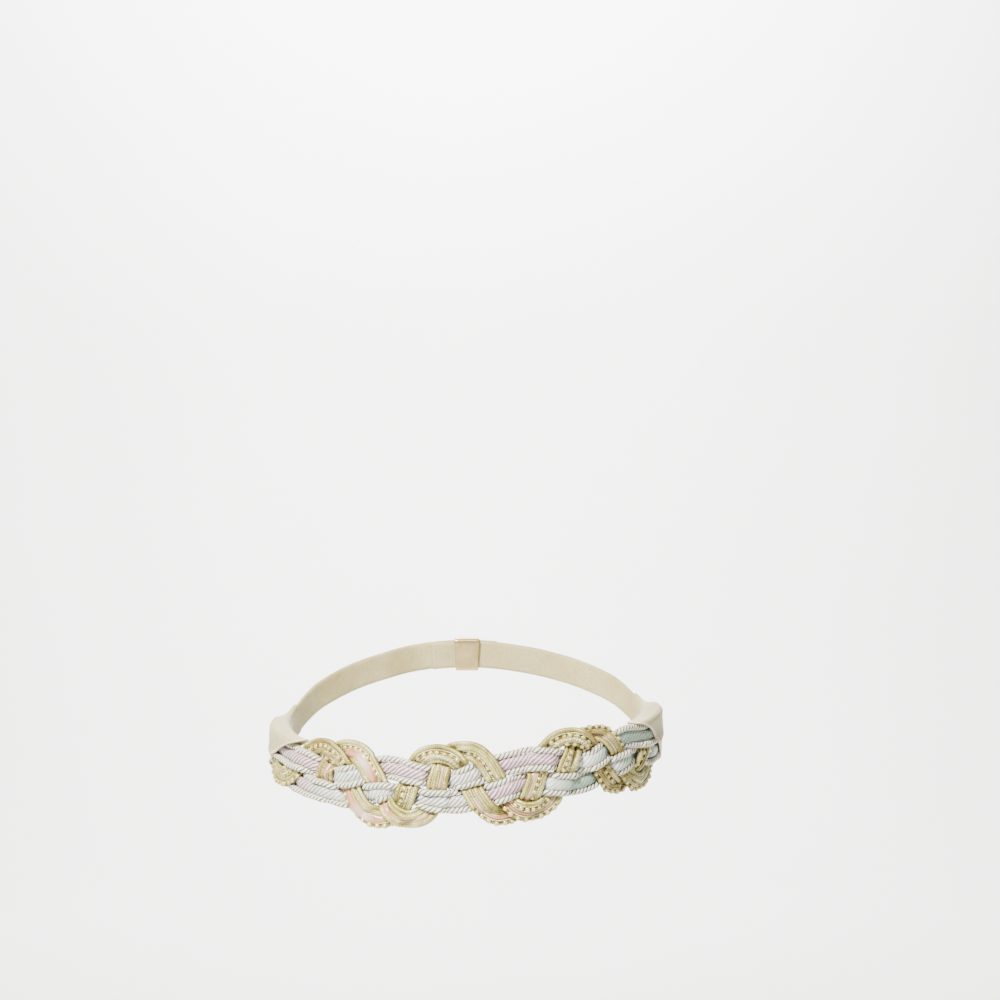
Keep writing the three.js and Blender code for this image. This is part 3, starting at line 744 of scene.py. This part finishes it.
# Rows of a cap: progress, s behind the mouth's slant, straightness, inner half sizes, middle
CAP_ROWS = [
    (0.0, 224, 0, 21.6, 7.9, -0.4), (0.35, 224, 0.35, 21.2, 8.0, -0.6), (0.7, 224, 0.7, 20.4, 7.7, -1.1),
    (1.0, 224, 1, 18.8, 6.4, -1.9), (1.25, 234, 1, 14.8, 3.8, -2.5), (1.5, 244, 1, 12.6, 1.8, -2.0),
    (1.8, 256, 1, 12.6, 1.5, 0.2),
]
CAP_END = CAP_ROWS[-1][0]
CAP_STEPS = 64
CAP_SIDES = 96
CAP_FOLD = 0.4
CAP_FOLD_LENGTHS = (3.1, 7.3)
CAP_THINNING = 0.75
CAP_THINNING_FROM = 1.2
CAP_PRESSED_TO = 0.9
CAP_BUMP_REACH = 3.6
CAP_CORNER = 5.0
CAP_CORNER_SHARE = 0.7
# The mouths of the left and the right cap: place and slant, the outer face's share of the
# full thickness, and its bumps over high cords at heights v
MOUTHS = {
    -1: {"middle": 188.0, "slant": 1.3, "forward": 0.0009, "share": 0.68, "bumps": [(0, 0.32), (-16, 0.26)]},
    1: {"middle": 178.0, "slant": 0.3, "forward": 0.0015, "share": 0.66, "bumps": [(0, 0.32)]},
}
RIM_STEPS = 5
EDGE_HALF_LENGTH = 1.9
EDGE_HALF_THICKNESS = 0.6
EDGE_INSET = 1.4
EDGE_SIDES = 12
STRAP_STEP = 2.5
STRAP_SIDES = 24


def rounded_outline(half_height, half_thickness, corner, sides):
    """Points spread evenly round a rounded rectangle: heights and thicknesses."""
    arc = np.linspace(0, math.pi / 2, CORNER_POINTS)
    quarter = np.stack([half_height - corner + corner * np.cos(arc),
                        half_thickness - corner + corner * np.sin(arc)], -1)
    loop = np.concatenate([quarter, quarter[::-1] * [-1, 1], -quarter, quarter[::-1] * [1, -1]])
    loop = np.concatenate([loop, loop[:1]])
    gone = distances_along(loop)
    return read_rows(np.arange(sides) / sides * gone[-1], gone, loop)


def rim(start, end, ahead):
    """Rings of a half-round rim from one face of a wall to the other."""
    middle = (start + end) / 2
    across = (end - start) / 2
    ahead = unit(ahead) * np.linalg.norm(across, axis=-1, keepdims=True)
    turns = np.linspace(0, math.pi, RIM_STEPS + 2)[1:-1]
    return [middle - across * math.cos(turn) + ahead * math.sin(turn) for turn in turns]


def sleeve(name, inner, outer, material, node):
    """A wall between inner and outer rings, its two rims rounded."""
    rings = [*inner, *rim(inner[-1], outer[-1], inner[-1] - inner[-2]),
             *outer[::-1], *rim(outer[0], inner[0], inner[0] - inner[1])]
    faces = ring_faces(len(rings), len(inner[0]), joined=True)
    make_piece(name, np.concatenate(rings), faces, material, node)


def smooth_rows(rows, at):
    """Rows with a rounded course through their first column, read at some places."""
    rows = np.array(rows, float)
    fine = np.linspace(rows[0, 0], rows[-1, 0], SMOOTH_POINTS)
    window = np.hanning(SMOOTH_WINDOW)[1:-1]
    lines = with_ends(read_rows(fine, rows[:, 0], rows[:, 1:]), len(window) // 2).T
    smoothed = [np.convolve(line, window / window.sum(), mode="valid") for line in lines]
    return read_rows(at, fine, np.stack(smoothed, -1))


def mouth_at(hand, v):
    """Distance from the front of a cap's slanted mouth, at heights v."""
    mouth = MOUTHS[hand]
    below = mouth["middle"] + MOUTH_BACK * (1 - np.exp(np.minimum(v, 0) / MOUTH_BACK_OVER))
    above = mouth["middle"] - mouth["slant"] * v - mouth["forward"] * v**3
    return np.where(v < 0, below, above)


def press_share(hand, progress, v):
    """How far a cap stands out over its cords at heights v: pressed to them at its mouth."""
    bumps = [height * np.exp(-((v - at) / CAP_BUMP_REACH)**2) for at, height in MOUTHS[hand]["bumps"]]
    share = np.minimum(MOUTHS[hand]["share"] + sum(bumps), 1)
    return share + (1 - share) * smoothstep(progress, 0, CAP_PRESSED_TO)


def cap_ring(hand, progress, row, wall):
    """Ring of a cap; shallow folds run from its tail to its mouth."""
    s, straight, half_height, half_thickness, middle = row
    wall = wall * (1 - CAP_THINNING * smoothstep(progress, CAP_THINNING_FROM, CAP_END))
    corner = min(CAP_CORNER_SHARE * (half_thickness + wall), CAP_CORNER)
    height, w = rounded_outline(half_height + wall, half_thickness + wall, corner, CAP_SIDES).T
    v = middle + height
    short, long = CAP_FOLD_LENGTHS
    fold = np.sin(v / short + hand) * np.sin(v / long - 0.6 * hand) * math.sin(math.pi * progress / CAP_END)
    w = w + CAP_FOLD * fold * np.sign(w) * smoothstep(np.abs(w), 0, 3)
    w = np.where(w > 0, w * press_share(hand, progress, v), w)
    mouth = mouth_at(hand, v)
    return band_point(hand * (mouth + (s - mouth) * straight), v, w)


def turned_edge(name, mouth, behind, material):
    """The leather folded over along a cap's mouth: a low strip round the outer face."""
    middle = mouth.mean(0)
    back = unit(behind - mouth)
    round_it = unit(np.roll(mouth, -1, axis=0) - np.roll(mouth, 1, axis=0))
    out = unit(np.cross(round_it, back))
    out *= np.sign((out * (mouth - middle)).sum(-1, keepdims=True))
    turn = turns_round(EDGE_SIDES)
    start = mouth + EDGE_INSET * back
    rings = start[:, None] + EDGE_HALF_LENGTH * back[:, None] * np.cos(turn)[:, None]
    rings = rings + EDGE_HALF_THICKNESS * out[:, None] * np.sin(turn)[:, None]
    faces = ring_faces(len(mouth), EDGE_SIDES, joined=True)
    make_piece(name + "_turned_edge", rings.reshape(-1, 3), faces, material, name)


def add_cap(name, hand, material, edge_material):
    places = np.linspace(0, CAP_END, CAP_STEPS)
    rows = list(zip(places, smooth_rows(CAP_ROWS, places)))
    inner = [cap_ring(hand, progress, row, 0) for progress, row in rows]
    outer = [cap_ring(hand, progress, row, LEATHER) for progress, row in rows]
    sleeve(name + "_leather", inner, outer, material, name)
    turned_edge(name, outer[0], outer[2], edge_material)


def add_strap(name, hand, material):
    distances = np.linspace(STRAP_START, STRAP_END, round((STRAP_END - STRAP_START) / STRAP_STEP) + 1)
    v, w = rounded_outline(STRAP_HALF_HEIGHT, STRAP_HALF_THICKNESS, STRAP_CORNER, STRAP_SIDES).T
    rings = []
    for s in distances:
        middle = STRAP_LOW + (STRAP_HIGH - STRAP_LOW) * smoothstep(s, STRAP_RISE_FROM, STRAP_RISE_TO)
        fade = 1 - smoothstep(s, STRAP_WAVE_FADE_FROM, STRAP_APART_FROM)
        wave = STRAP_WAVE * math.sin(s / STRAP_WAVE_LENGTH) * fade
        apart = -hand * STRAP_APART * smoothstep(s, STRAP_APART_FROM, STRAP_APART_TO)
        rings.append(band_point(hand * s, v + middle + wave, w + apart))
    faces = ring_faces(len(rings), STRAP_SIDES)
    make_piece(name + "_leather", np.concatenate(rings), faces, material, name)


def keeper_ring(share, wall):
    s = LOOP_END + KEEPER_HALF_LENGTH * (2 * share - 1)
    corner = KEEPER_CORNER + wall / 2
    v, w = rounded_outline(KEEPER_HALF_HEIGHT + wall, KEEPER_HALF_THICKNESS + wall, corner, KEEPER_SIDES).T
    return band_point(s, v + STRAP_HIGH, w)


def add_keeper(material):
    shares = np.linspace(0, 1, KEEPER_RINGS)
    inner = [keeper_ring(share, 0) for share in shares]
    outer = [keeper_ring(share, KEEPER_WALL) for share in shares]
    sleeve("back_keeper_metal", inner, outer, material, "back_keeper")


# Materials
class Nodes:
    """A material's node tree, with short calls for the nodes that these materials use."""

    def __init__(self, name, **sockets):
        self.material = bpy.data.materials.new(name)
        self.material.use_nodes = True
        self.tree = self.material.node_tree
        self.shader = self.tree.nodes["Principled BSDF"]
        for socket, value in sockets.items():
            self.shader.inputs[socket.replace("_", " ")].default_value = value

    def node(self, kind, inputs=None, **settings):
        node = self.tree.nodes.new(kind)
        for key, value in settings.items():
            setattr(node, key, value)
        for key, value in (inputs or {}).items():
            self.put(node.inputs[key], value)
        return node

    def put(self, socket, value):
        if isinstance(value, bpy.types.NodeSocket):
            self.tree.links.new(value, socket)
        else:
            socket.default_value = value

    def math(self, operation, a, b=0.0):
        return self.node("ShaderNodeMath", {0: a, 1: b}, operation=operation).outputs[0]

    def times(self, a, b):
        return self.math("MULTIPLY", a, b)

    def plus(self, a, b):
        return self.math("ADD", a, b)

    def wave(self, turns, operation="SINE"):
        return self.math(operation, self.times(turns, FULL_TURN))

    def uv(self, layer):
        split = self.node("ShaderNodeSeparateXYZ", {0: self.node("ShaderNodeUVMap", uv_map=layer).outputs[0]})
        return split.outputs[0], split.outputs[1]

    def turned(self, lead):
        """Turns round a cord, counted from a helix that turns once in each lead."""
        distance, around = self.uv("cord")
        return self.plus(around, self.math("DIVIDE", distance, lead))

    def place(self):
        return self.node("ShaderNodeTexCoord").outputs["Object"]

    def noise(self, scale, detail=3.0, vector=None):
        inputs = {"Vector": vector or self.place(), "Scale": scale, "Detail": detail}
        return self.node("ShaderNodeTexNoise", inputs).outputs["Fac"]

    def ramp(self, factor, stops):
        node = self.node("ShaderNodeValToRGB", {0: factor})
        ramp = node.color_ramp
        while len(ramp.elements) < len(stops):
            ramp.elements.new(0.5)
        for element, (position, colour) in zip(ramp.elements, stops):
            element.position = position
            element.color = (*colour, 1)
        return node.outputs[0]

    def patches(self, scale, low, high, detail=3.0):
        return self.ramp(self.noise(scale, detail), [(0.3, low), (0.7, high)])

    def belt_ramp(self, stops):
        """Colours along the belt; each stop has its distance s from the front."""
        place = self.plus(self.math("DIVIDE", self.uv("belt")[0], 2 * BRAID_END * MM), 0.5)
        return self.ramp(place, [(0.5 + s / (2 * BRAID_END), colour) for s, colour in stops.items()])

    def mix(self, factor, a, b, blend="MIX"):
        node = self.node("ShaderNodeMix", data_type="RGBA", blend_type=blend)
        for socket, value in ((node.inputs[0], factor), (node.inputs[6], a), (node.inputs[7], b)):
            self.put(socket, (*value, 1) if isinstance(value, tuple) else value)
        return node.outputs[2]

    def bump(self, height, distance, strength=1.0, normal=None):
        node = self.node("ShaderNodeBump", {"Height": height, "Distance": distance, "Strength": strength})
        if normal is not None:
            self.put(node.inputs["Normal"], normal)
        return node.outputs[0]

    def finish(self, colour=None, roughness=None, normal=None):
        for socket, value in (("Base Color", colour), ("Roughness", roughness), ("Normal", normal)):
            if value is not None:
                self.put(self.shader.inputs[socket], value)
        return self.material


def with_painted_shade(nodes, colour, dark, valley, side):
    """A cord's colour with painted shade: darker in its valleys and at the sides that turn to its neighbours.
    """
    across = nodes.math("ABSOLUTE", nodes.wave(nodes.uv("cord")[1], "COSINE"))
    shadow = nodes.times(nodes.math("POWER", across, 4.0), side)
    return nodes.mix(nodes.math("MAXIMUM", valley, shadow), colour, dark)


def valley_share(nodes, plies, lead, low, high):
    """1 in the valleys between the plies of a twisted cord, 0 on their crowns."""
    phase = nodes.math("FRACT", nodes.plus(nodes.times(nodes.turned(lead), float(plies)), 0.5))
    away = nodes.times(nodes.math("ABSOLUTE", nodes.math("SUBTRACT", phase, 0.5)), 2.0)
    return nodes.node("ShaderNodeMapRange", {"Value": away, "From Min": low, "From Max": high},
                      interpolation_type="SMOOTHSTEP").outputs[0]


def yarn_bump(nodes, lead, count, height):
    """Fine yarn lines that run with the plies."""
    return nodes.bump(nodes.wave(nodes.times(nodes.turned(lead), float(count))), height * MM, 0.5)


def cream_rope_material():
    nodes = Nodes("cream_rope", Sheen_Weight=0.2, Coat_Weight=0.2, Coat_Roughness=0.35)
    valley = valley_share(nodes, CREAM_PLIES, CREAM_LEAD, 0.35, 0.9)
    patches = nodes.ramp(nodes.noise(90.0), [(0.35, (0.90, 0.85, 0.68)), (0.65, (0.98, 0.95, 0.84))])
    # Painted shade: the rope darkens towards a near-black brown in the valleys between its plies and at its
    # sides.
    colour = with_painted_shade(nodes, patches, (0.06, 0.05, 0.012), valley, 0.5)
    return nodes.finish(colour, 0.42, yarn_bump(nodes, CREAM_LEAD, 21, 0.12))


def coloured_material(name, colour_stops, valley_shade_stops, edge_stops):
    """A wide cord whose colour, and the painted shade in the valleys between its plies, change along the
    belt.
    """
    nodes = Nodes(name, Sheen_Weight=0.1, Coat_Weight=0.5, Coat_Roughness=0.25)
    edge = nodes.belt_ramp({s: (low, low, low) for s, low in edge_stops.items()})
    # Painted shade: the line colours fill the valleys between the plies, and the cord's sides darken too.
    valley = valley_share(nodes, WIDE_PLIES, WIDE_LEAD, edge, nodes.plus(edge, 0.4))
    colour = with_painted_shade(nodes, nodes.belt_ramp(colour_stops), nodes.belt_ramp(valley_shade_stops), valley, 0.6)
    colour = nodes.mix(0.3, colour, nodes.patches(160.0, (0.7, 0.7, 0.7), (1, 1, 1)), "MULTIPLY")
    return nodes.finish(colour, 0.3, yarn_bump(nodes, WIDE_LEAD, 49, 0.2))


def gimp_material(name, dark, middle, light, wrap_shade_colour):
    """Cord wrapped closely with metallic thread."""
    nodes = Nodes(name, Metallic=0.35, Specular_IOR_Level=0.6, Coat_Weight=0.4, Coat_Roughness=0.25)
    turned = nodes.turned(GIMP_PITCH)
    tone = nodes.ramp(nodes.noise(60.0), [(0.3, dark), (0.5, middle), (0.7, light)])
    tone = nodes.mix(1.0, tone, nodes.belt_ramp(GIMP_TINTS), "MULTIPLY")
    # Painted shade: the cord darkens in the grooves between the wraps and at its sides.
    wrap_shade_mask = nodes.times(nodes.wave(turned), -0.425)
    fine = nodes.bump(nodes.wave(nodes.times(turned, 4.0)), 0.08 * MM, 0.7)
    return nodes.finish(with_painted_shade(nodes, tone, wrap_shade_colour, wrap_shade_mask, 0.95), 0.28, fine)


def satin_material():
    nodes = Nodes("pink_satin", Sheen_Weight=0.3, Coat_Weight=0.5, Coat_Roughness=0.2, Anisotropic=0.5)
    distance, around = nodes.uv("cord")
    fibres = {0: nodes.times(distance, 0.05), 1: nodes.times(around, 40.0)}
    streaks = nodes.noise(1.0, 2.0, nodes.node("ShaderNodeCombineXYZ", fibres).outputs[0])
    shade = nodes.ramp(streaks, [(0.3, (0.62, 0.56, 0.52)), (0.7, (1, 1, 1))])
    # Painted highlight: a pale streak along the middle of each flat face.
    painted_highlight = nodes.math("POWER", nodes.math("ABSOLUTE", nodes.wave(around)), 12.0)
    ground = nodes.mix(nodes.times(painted_highlight, 0.32), nodes.belt_ramp(SATIN_COLOURS), (0.95, 0.80, 0.66))
    # Painted shade: the satin darkens towards its sides.
    ground = with_painted_shade(nodes, ground, (0.42, 0.20, 0.10), 0.0, 0.6)
    colour = nodes.mix(1.0, ground, shade, "MULTIPLY")
    return nodes.finish(colour, 0.24, nodes.bump(streaks, 0.2 * MM, 0.6))


def pearl_material():
    nodes = Nodes("pearl", Metallic=0.2, Coat_Weight=0.8, Coat_Roughness=0.12, Specular_IOR_Level=0.6)
    # Painted shade: each bead is lightest where it faces straight out of the band or into it and darkens
    # towards its sides.
    rings = [(0.1, (0.12, 0.09, 0.02)), (0.5, (0.38, 0.30, 0.07)), (0.9, (0.80, 0.70, 0.27))]
    patches = nodes.patches(45.0, (0.86, 0.80, 0.70), (1, 1, 1), 2.0)
    colour = nodes.mix(1.0, nodes.ramp(nodes.uv("bead")[0], rings), patches, "MULTIPLY")
    return nodes.finish(colour, 0.22, nodes.bump(nodes.noise(900.0, 2.0), 0.03 * MM, 0.3))


def leather_material(name, dark, light, pore):
    nodes = Nodes(name, Specular_IOR_Level=0.45, Sheen_Weight=0.1)
    cells = nodes.node("ShaderNodeTexVoronoi", {"Vector": nodes.place(), "Scale": 620.0},
                       feature="DISTANCE_TO_EDGE").outputs[0]
    grain = nodes.math("MINIMUM", nodes.times(cells, 4.0), 1.0)
    pores = nodes.times(nodes.math("SUBTRACT", 1.0, grain), 0.45)
    colour = nodes.mix(pores, nodes.patches(35.0, dark, light), pore)
    creases = nodes.bump(nodes.noise(70.0, 5.0), 0.9 * MM, 0.5)
    roughness = nodes.plus(nodes.times(nodes.noise(220.0), 0.2), 0.42)
    return nodes.finish(colour, roughness, nodes.bump(grain, 0.16 * MM, 0.6, creases))


def brass_material():
    nodes = Nodes("brass", Metallic=1.0)
    scratches = nodes.node("ShaderNodeMapping", {"Vector": nodes.place(), "Scale": (60.0, 60.0, 2400.0)})
    brushed = nodes.noise(1.0, 3.0, scratches.outputs[0])
    colour = nodes.patches(80.0, (0.56, 0.42, 0.19), (0.76, 0.62, 0.34))
    roughness = nodes.plus(nodes.times(brushed, 0.25), 0.22)
    return nodes.finish(colour, roughness, nodes.bump(brushed, 0.04 * MM, 0.4))


# Colours along the belt: distance s from the front, and what holds there
LAVENDER = (0.90, 0.78, 0.74)
LILAC = (0.88, 0.76, 0.77)
MAUVE = (0.30, 0.13, 0.20)
ROSE = (0.29, 0.11, 0.22)
SILVER = (0.93, 0.92, 0.87)
GREY = (0.24, 0.23, 0.20)
# White stretches are partly the cord's own white and partly painted highlights on the glossy cord; the pale
# grey lines go with them.
PALE_GREY = (0.50, 0.52, 0.46)
WHITE_AND_PAINTED_HIGHLIGHT = (0.97, 0.98, 0.95)
AQUA = (0.46, 0.60, 0.48)
PALE_AQUA = (0.74, 0.87, 0.80)
DEEP_AQUA = (0.16, 0.26, 0.18)
DARK_AQUA = (0.32, 0.45, 0.35)
UPPER_COLOURS = {
    -118: LAVENDER, -106: SILVER, -90: PALE_AQUA, -80: LAVENDER, -30: LAVENDER, -16: SILVER, 14: SILVER,
    24: LILAC, 74: LILAC, 84: SILVER, 100: WHITE_AND_PAINTED_HIGHLIGHT, 112: AQUA, 124: PALE_AQUA, 134: DARK_AQUA, 152: AQUA,
}
# Upper cord's line colours: painted shade in the valleys between the plies.
UPPER_VALLEY_SHADE = {
    -116: MAUVE, -104: GREY, -86: GREY, -76: MAUVE, -30: MAUVE, -12: GREY, 14: GREY, 26: ROSE, 74: ROSE,
    86: GREY, 97: PALE_GREY, 110: DEEP_AQUA,
}
UPPER_EDGES = {
    -116: 0.3, -100: 0.45, -84: 0.45, -74: 0.3, -30: 0.3, -8: 0.42, 14: 0.42, 26: 0.3, 76: 0.3, 92: 0.45,
    222: 0.5,
}
UPPER_TWIST = {
    -110: 1, -90: 0.5, -74: 1, -30: 1, 0: 0.6, 25: 1, 74: 1, 92: 0.5, 125: 0.3, 160: 0.3, 222: 0.6,
}
LOWER_COLOURS = {
    -140: LAVENDER, -122: PALE_AQUA, -104: WHITE_AND_PAINTED_HIGHLIGHT, -84: PALE_AQUA, -64: WHITE_AND_PAINTED_HIGHLIGHT, -44: SILVER, -20: WHITE_AND_PAINTED_HIGHLIGHT,
    4: SILVER, 14: LAVENDER, 46: LAVENDER, 58: WHITE_AND_PAINTED_HIGHLIGHT, 66: PALE_AQUA, 76: AQUA, 104: DARK_AQUA, 118: WHITE_AND_PAINTED_HIGHLIGHT,
    132: PALE_AQUA, 146: AQUA,
}
# Lower cord's line colours: painted shade in the valleys between the plies.
LOWER_VALLEY_SHADE = {
    -140: MAUVE, -118: GREY, -100: PALE_GREY, -84: GREY, -68: PALE_GREY, -52: GREY, 4: GREY, 14: ROSE,
    46: MAUVE, 58: PALE_GREY, 70: PALE_GREY, 84: DEEP_AQUA, 108: DEEP_AQUA, 118: PALE_GREY, 130: DEEP_AQUA,
}
LOWER_EDGES = {
    -140: 0.3, -118: 0.45, -50: 0.42, -40: 0.38, 0: 0.4, 14: 0.3, 48: 0.3, 62: 0.5, 106: 0.5, 120: 0.42,
    222: 0.5,
}
LOWER_TWIST = {
    -138: 1, -112: 0.5, -84: 0.4, -60: 0.5, -40: 0.7, -14: 0.6, 12: 1, 48: 1, 64: 0.3, 106: 0.3, 120: 0.5,
    160: 0.4, 222: 0.6,
}
# Gimp tones along the belt, multiplied in: darker and browner round s −124, browner round s 104, more olive
# round s −140, −54, 48 and 222.
PLAIN = (1, 1, 1)
OLIVE = (0.88, 0.90, 0.74)
BROWN = (0.80, 0.66, 0.48)
DARK = (0.62, 0.52, 0.36)
GIMP_TINTS = {
    -140: OLIVE, -130: DARK, -118: DARK, -104: PLAIN, -66: PLAIN, -54: OLIVE, -34: PLAIN, 36: PLAIN,
    48: OLIVE, 64: PLAIN, 94: PLAIN, 104: BROWN, 118: PLAIN, 222: OLIVE,
}
SALMON = (0.60, 0.20, 0.09)
# The blush colour, at s −81, is a painted highlight on the satin.
SATIN_PAINTED_HIGHLIGHT = (0.96, 0.80, 0.68)
PEACH = (0.76, 0.43, 0.20)
CREAM = (0.84, 0.57, 0.36)
SATIN_COLOURS = {
    -120: PEACH, -108: SALMON, -90: SALMON, -81: SATIN_PAINTED_HIGHLIGHT, -73: SALMON, -66: SALMON, -54: PEACH, 10: CREAM,
    22: SALMON, 36: SALMON, 50: PEACH, 90: CREAM, 222: PEACH,
}

CREAM_ROPE_LOOK = cream_rope_material()
UPPER_WIDE_LOOK = coloured_material("upper_coloured_cord", UPPER_COLOURS, UPPER_VALLEY_SHADE, UPPER_EDGES)
LOWER_WIDE_LOOK = coloured_material("lower_coloured_cord", LOWER_COLOURS, LOWER_VALLEY_SHADE, LOWER_EDGES)
# Each gimp look's tones: dark, middle and light, then the colour of its painted shade.
GOLD_TONES = [(0.36, 0.29, 0.05), (0.60, 0.53, 0.15), (0.86, 0.80, 0.36), (0.06, 0.04, 0.004)]
OLIVE_TONES = [(0.28, 0.21, 0.04), (0.42, 0.33, 0.09), (0.54, 0.45, 0.16), (0.07, 0.05, 0.01)]
PALE_TONES = [(0.62, 0.52, 0.19), (0.82, 0.73, 0.34), (0.96, 0.90, 0.54), (0.14, 0.10, 0.015)]
GOLD_LOOKS = {
    "gimp": gimp_material("gold_gimp", *GOLD_TONES),
    "base": gimp_material("olive_braid", *OLIVE_TONES),
    "cord": gimp_material("pale_cord", *PALE_TONES),
    "satin": satin_material(),
    "pearls": pearl_material(),
}
LEATHER_LOOK = leather_material("cream_leather", (0.45, 0.38, 0.17), (0.60, 0.53, 0.28), (0.22, 0.17, 0.06))
EDGE_LOOK = leather_material("cream_leather_edge", (0.76, 0.64, 0.45), (0.86, 0.76, 0.58), (0.42, 0.32, 0.20))
BRASS_LOOK = brass_material()

# The belt's pieces
Settler().settle()

ROPE_STRANDS = [
    ("upper_strand", UPPER_ROPES, UPPER_TWIST, UPPER_WIDE_LOOK),
    ("lower_strand", LOWER_ROPES, LOWER_TWIST, LOWER_WIDE_LOOK),
]
for name, strand, twist, look in ROPE_STRANDS:
    add_cream_rope(f"{name}_lower_rope", strand.cords[0], strand, CREAM_ROPE_LOOK)
    add_cream_rope(f"{name}_upper_rope", strand.cords[3], strand, CREAM_ROPE_LOOK)
    add_wide_cord(f"{name}_wide_cord", strand, twist, look)

for strand in (GOLD_A, GOLD_B):
    for k, cord in enumerate(strand.cords):
        add_lane(strand, k, cord, GOLD_LOOKS)
    for k, (one, other) in enumerate(zip(strand.cords, strand.cords[1:])):
        for face, side in (("outer", 1), ("inner", -1)):
            add_thread(f"{strand.name}_{face}_thread_{k + 1}", one, other, side, strand, GOLD_LOOKS["cord"])

for side, hand in (("left", -1), ("right", 1)):
    add_cap(f"{side}_end_cap", hand, LEATHER_LOOK, EDGE_LOOK)
    add_strap(f"{side}_strap", hand, LEATHER_LOOK)
add_keeper(BRASS_LOOK)

# Studio: a pale sweep, soft lights and the photograph's camera
CAMERA_PLACE = (0, -1.7, 0.4215)
FOCAL_PIXELS = 2125
HORIZON_ABOVE_CENTRE = 274
CAMERA_PITCH = math.atan(HORIZON_ABOVE_CENTRE / FOCAL_PIXELS)
PHOTO_PIXELS = 1000
CENTRE_PIXEL = 467
SENSOR = 36.0
FLOOR_HEIGHT = -0.55
FLOOR_FRONT = -9.0
FLOOR_HALF_WIDTH = 9.0
BEND_START = 1.2
BEND_RADIUS = 0.8
BACKDROP_TOP = 4.0
BELT_MIDDLE = (0, -0.05, 0)
WARM_WHITE = (1.0, 0.97, 0.9)
SUN_WHITE = (1.0, 0.965, 0.87)


def add_camera():
    data = bpy.data.cameras.new("camera")
    data.sensor_fit = "HORIZONTAL"
    data.sensor_width = SENSOR
    data.lens = FOCAL_PIXELS / PHOTO_PIXELS * SENSOR
    data.shift_x = (PHOTO_PIXELS / 2 - CENTRE_PIXEL) / PHOTO_PIXELS
    camera = add_to_scene("camera", data)
    camera.location = CAMERA_PLACE
    camera.rotation_euler = (math.pi / 2 - CAMERA_PITCH, 0, 0)
    bpy.context.scene.camera = camera


def add_area(name, place, target, size, power, colour=(1, 1, 1)):
    data = bpy.data.lights.new(name, "AREA")
    data.energy = power
    data.size = size
    data.color = colour
    light = add_to_scene(name, data)
    light.location = place
    light.rotation_euler = (Vector(target) - Vector(place)).to_track_quat("-Z", "Y").to_euler()


def add_sweep():
    """Floor that curves up into a backdrop."""
    profile = [(FLOOR_FRONT, 0), (BEND_START, 0)]
    for turn in np.linspace(0.1, math.pi / 2, 14):
        profile.append((BEND_START + BEND_RADIUS * math.sin(turn), BEND_RADIUS * (1 - math.cos(turn))))
    profile.append((BEND_START + BEND_RADIUS, BACKDROP_TOP))
    points = [(x, y, z + FLOOR_HEIGHT) for x in (-FLOOR_HALF_WIDTH, FLOOR_HALF_WIDTH) for y, z in profile]
    size = len(profile)
    faces = [(k, k + 1, size + k + 1, size + k) for k in range(size - 1)]
    mesh = bpy.data.meshes.new("studio_sweep")
    mesh.from_pydata(points, [], faces)
    mesh.polygons.foreach_set("use_smooth", np.ones(len(faces), bool))
    nodes = Nodes("pale_floor", Roughness=0.8)
    mesh.materials.append(nodes.finish(nodes.patches(2.0, (0.86, 0.86, 0.86), (0.89, 0.89, 0.89))))
    add_to_scene("studio_sweep", mesh)


def add_world():
    world = bpy.data.worlds.new("studio")
    world.use_nodes = True
    background = world.node_tree.nodes["Background"]
    background.inputs[0].default_value = (1, 1, 1, 1)
    background.inputs[1].default_value = 0.3
    bpy.context.scene.world = world


add_camera()
add_world()
add_sweep()
add_area("key", (-0.7, -0.95, 1.35), BELT_MIDDLE, 0.3, 140, SUN_WHITE)
add_area("fill", (1.0, -1.4, 0.5), BELT_MIDDLE, 1.4, 7, WARM_WHITE)
add_area("back", (0.3, 1.3, 1.3), (0, 0, 0), 1.2, 11, WARM_WHITE)
add_area("backdrop", (0, 0.9, 1.4), (0, 2.0, 0.9), 1.2, 190)
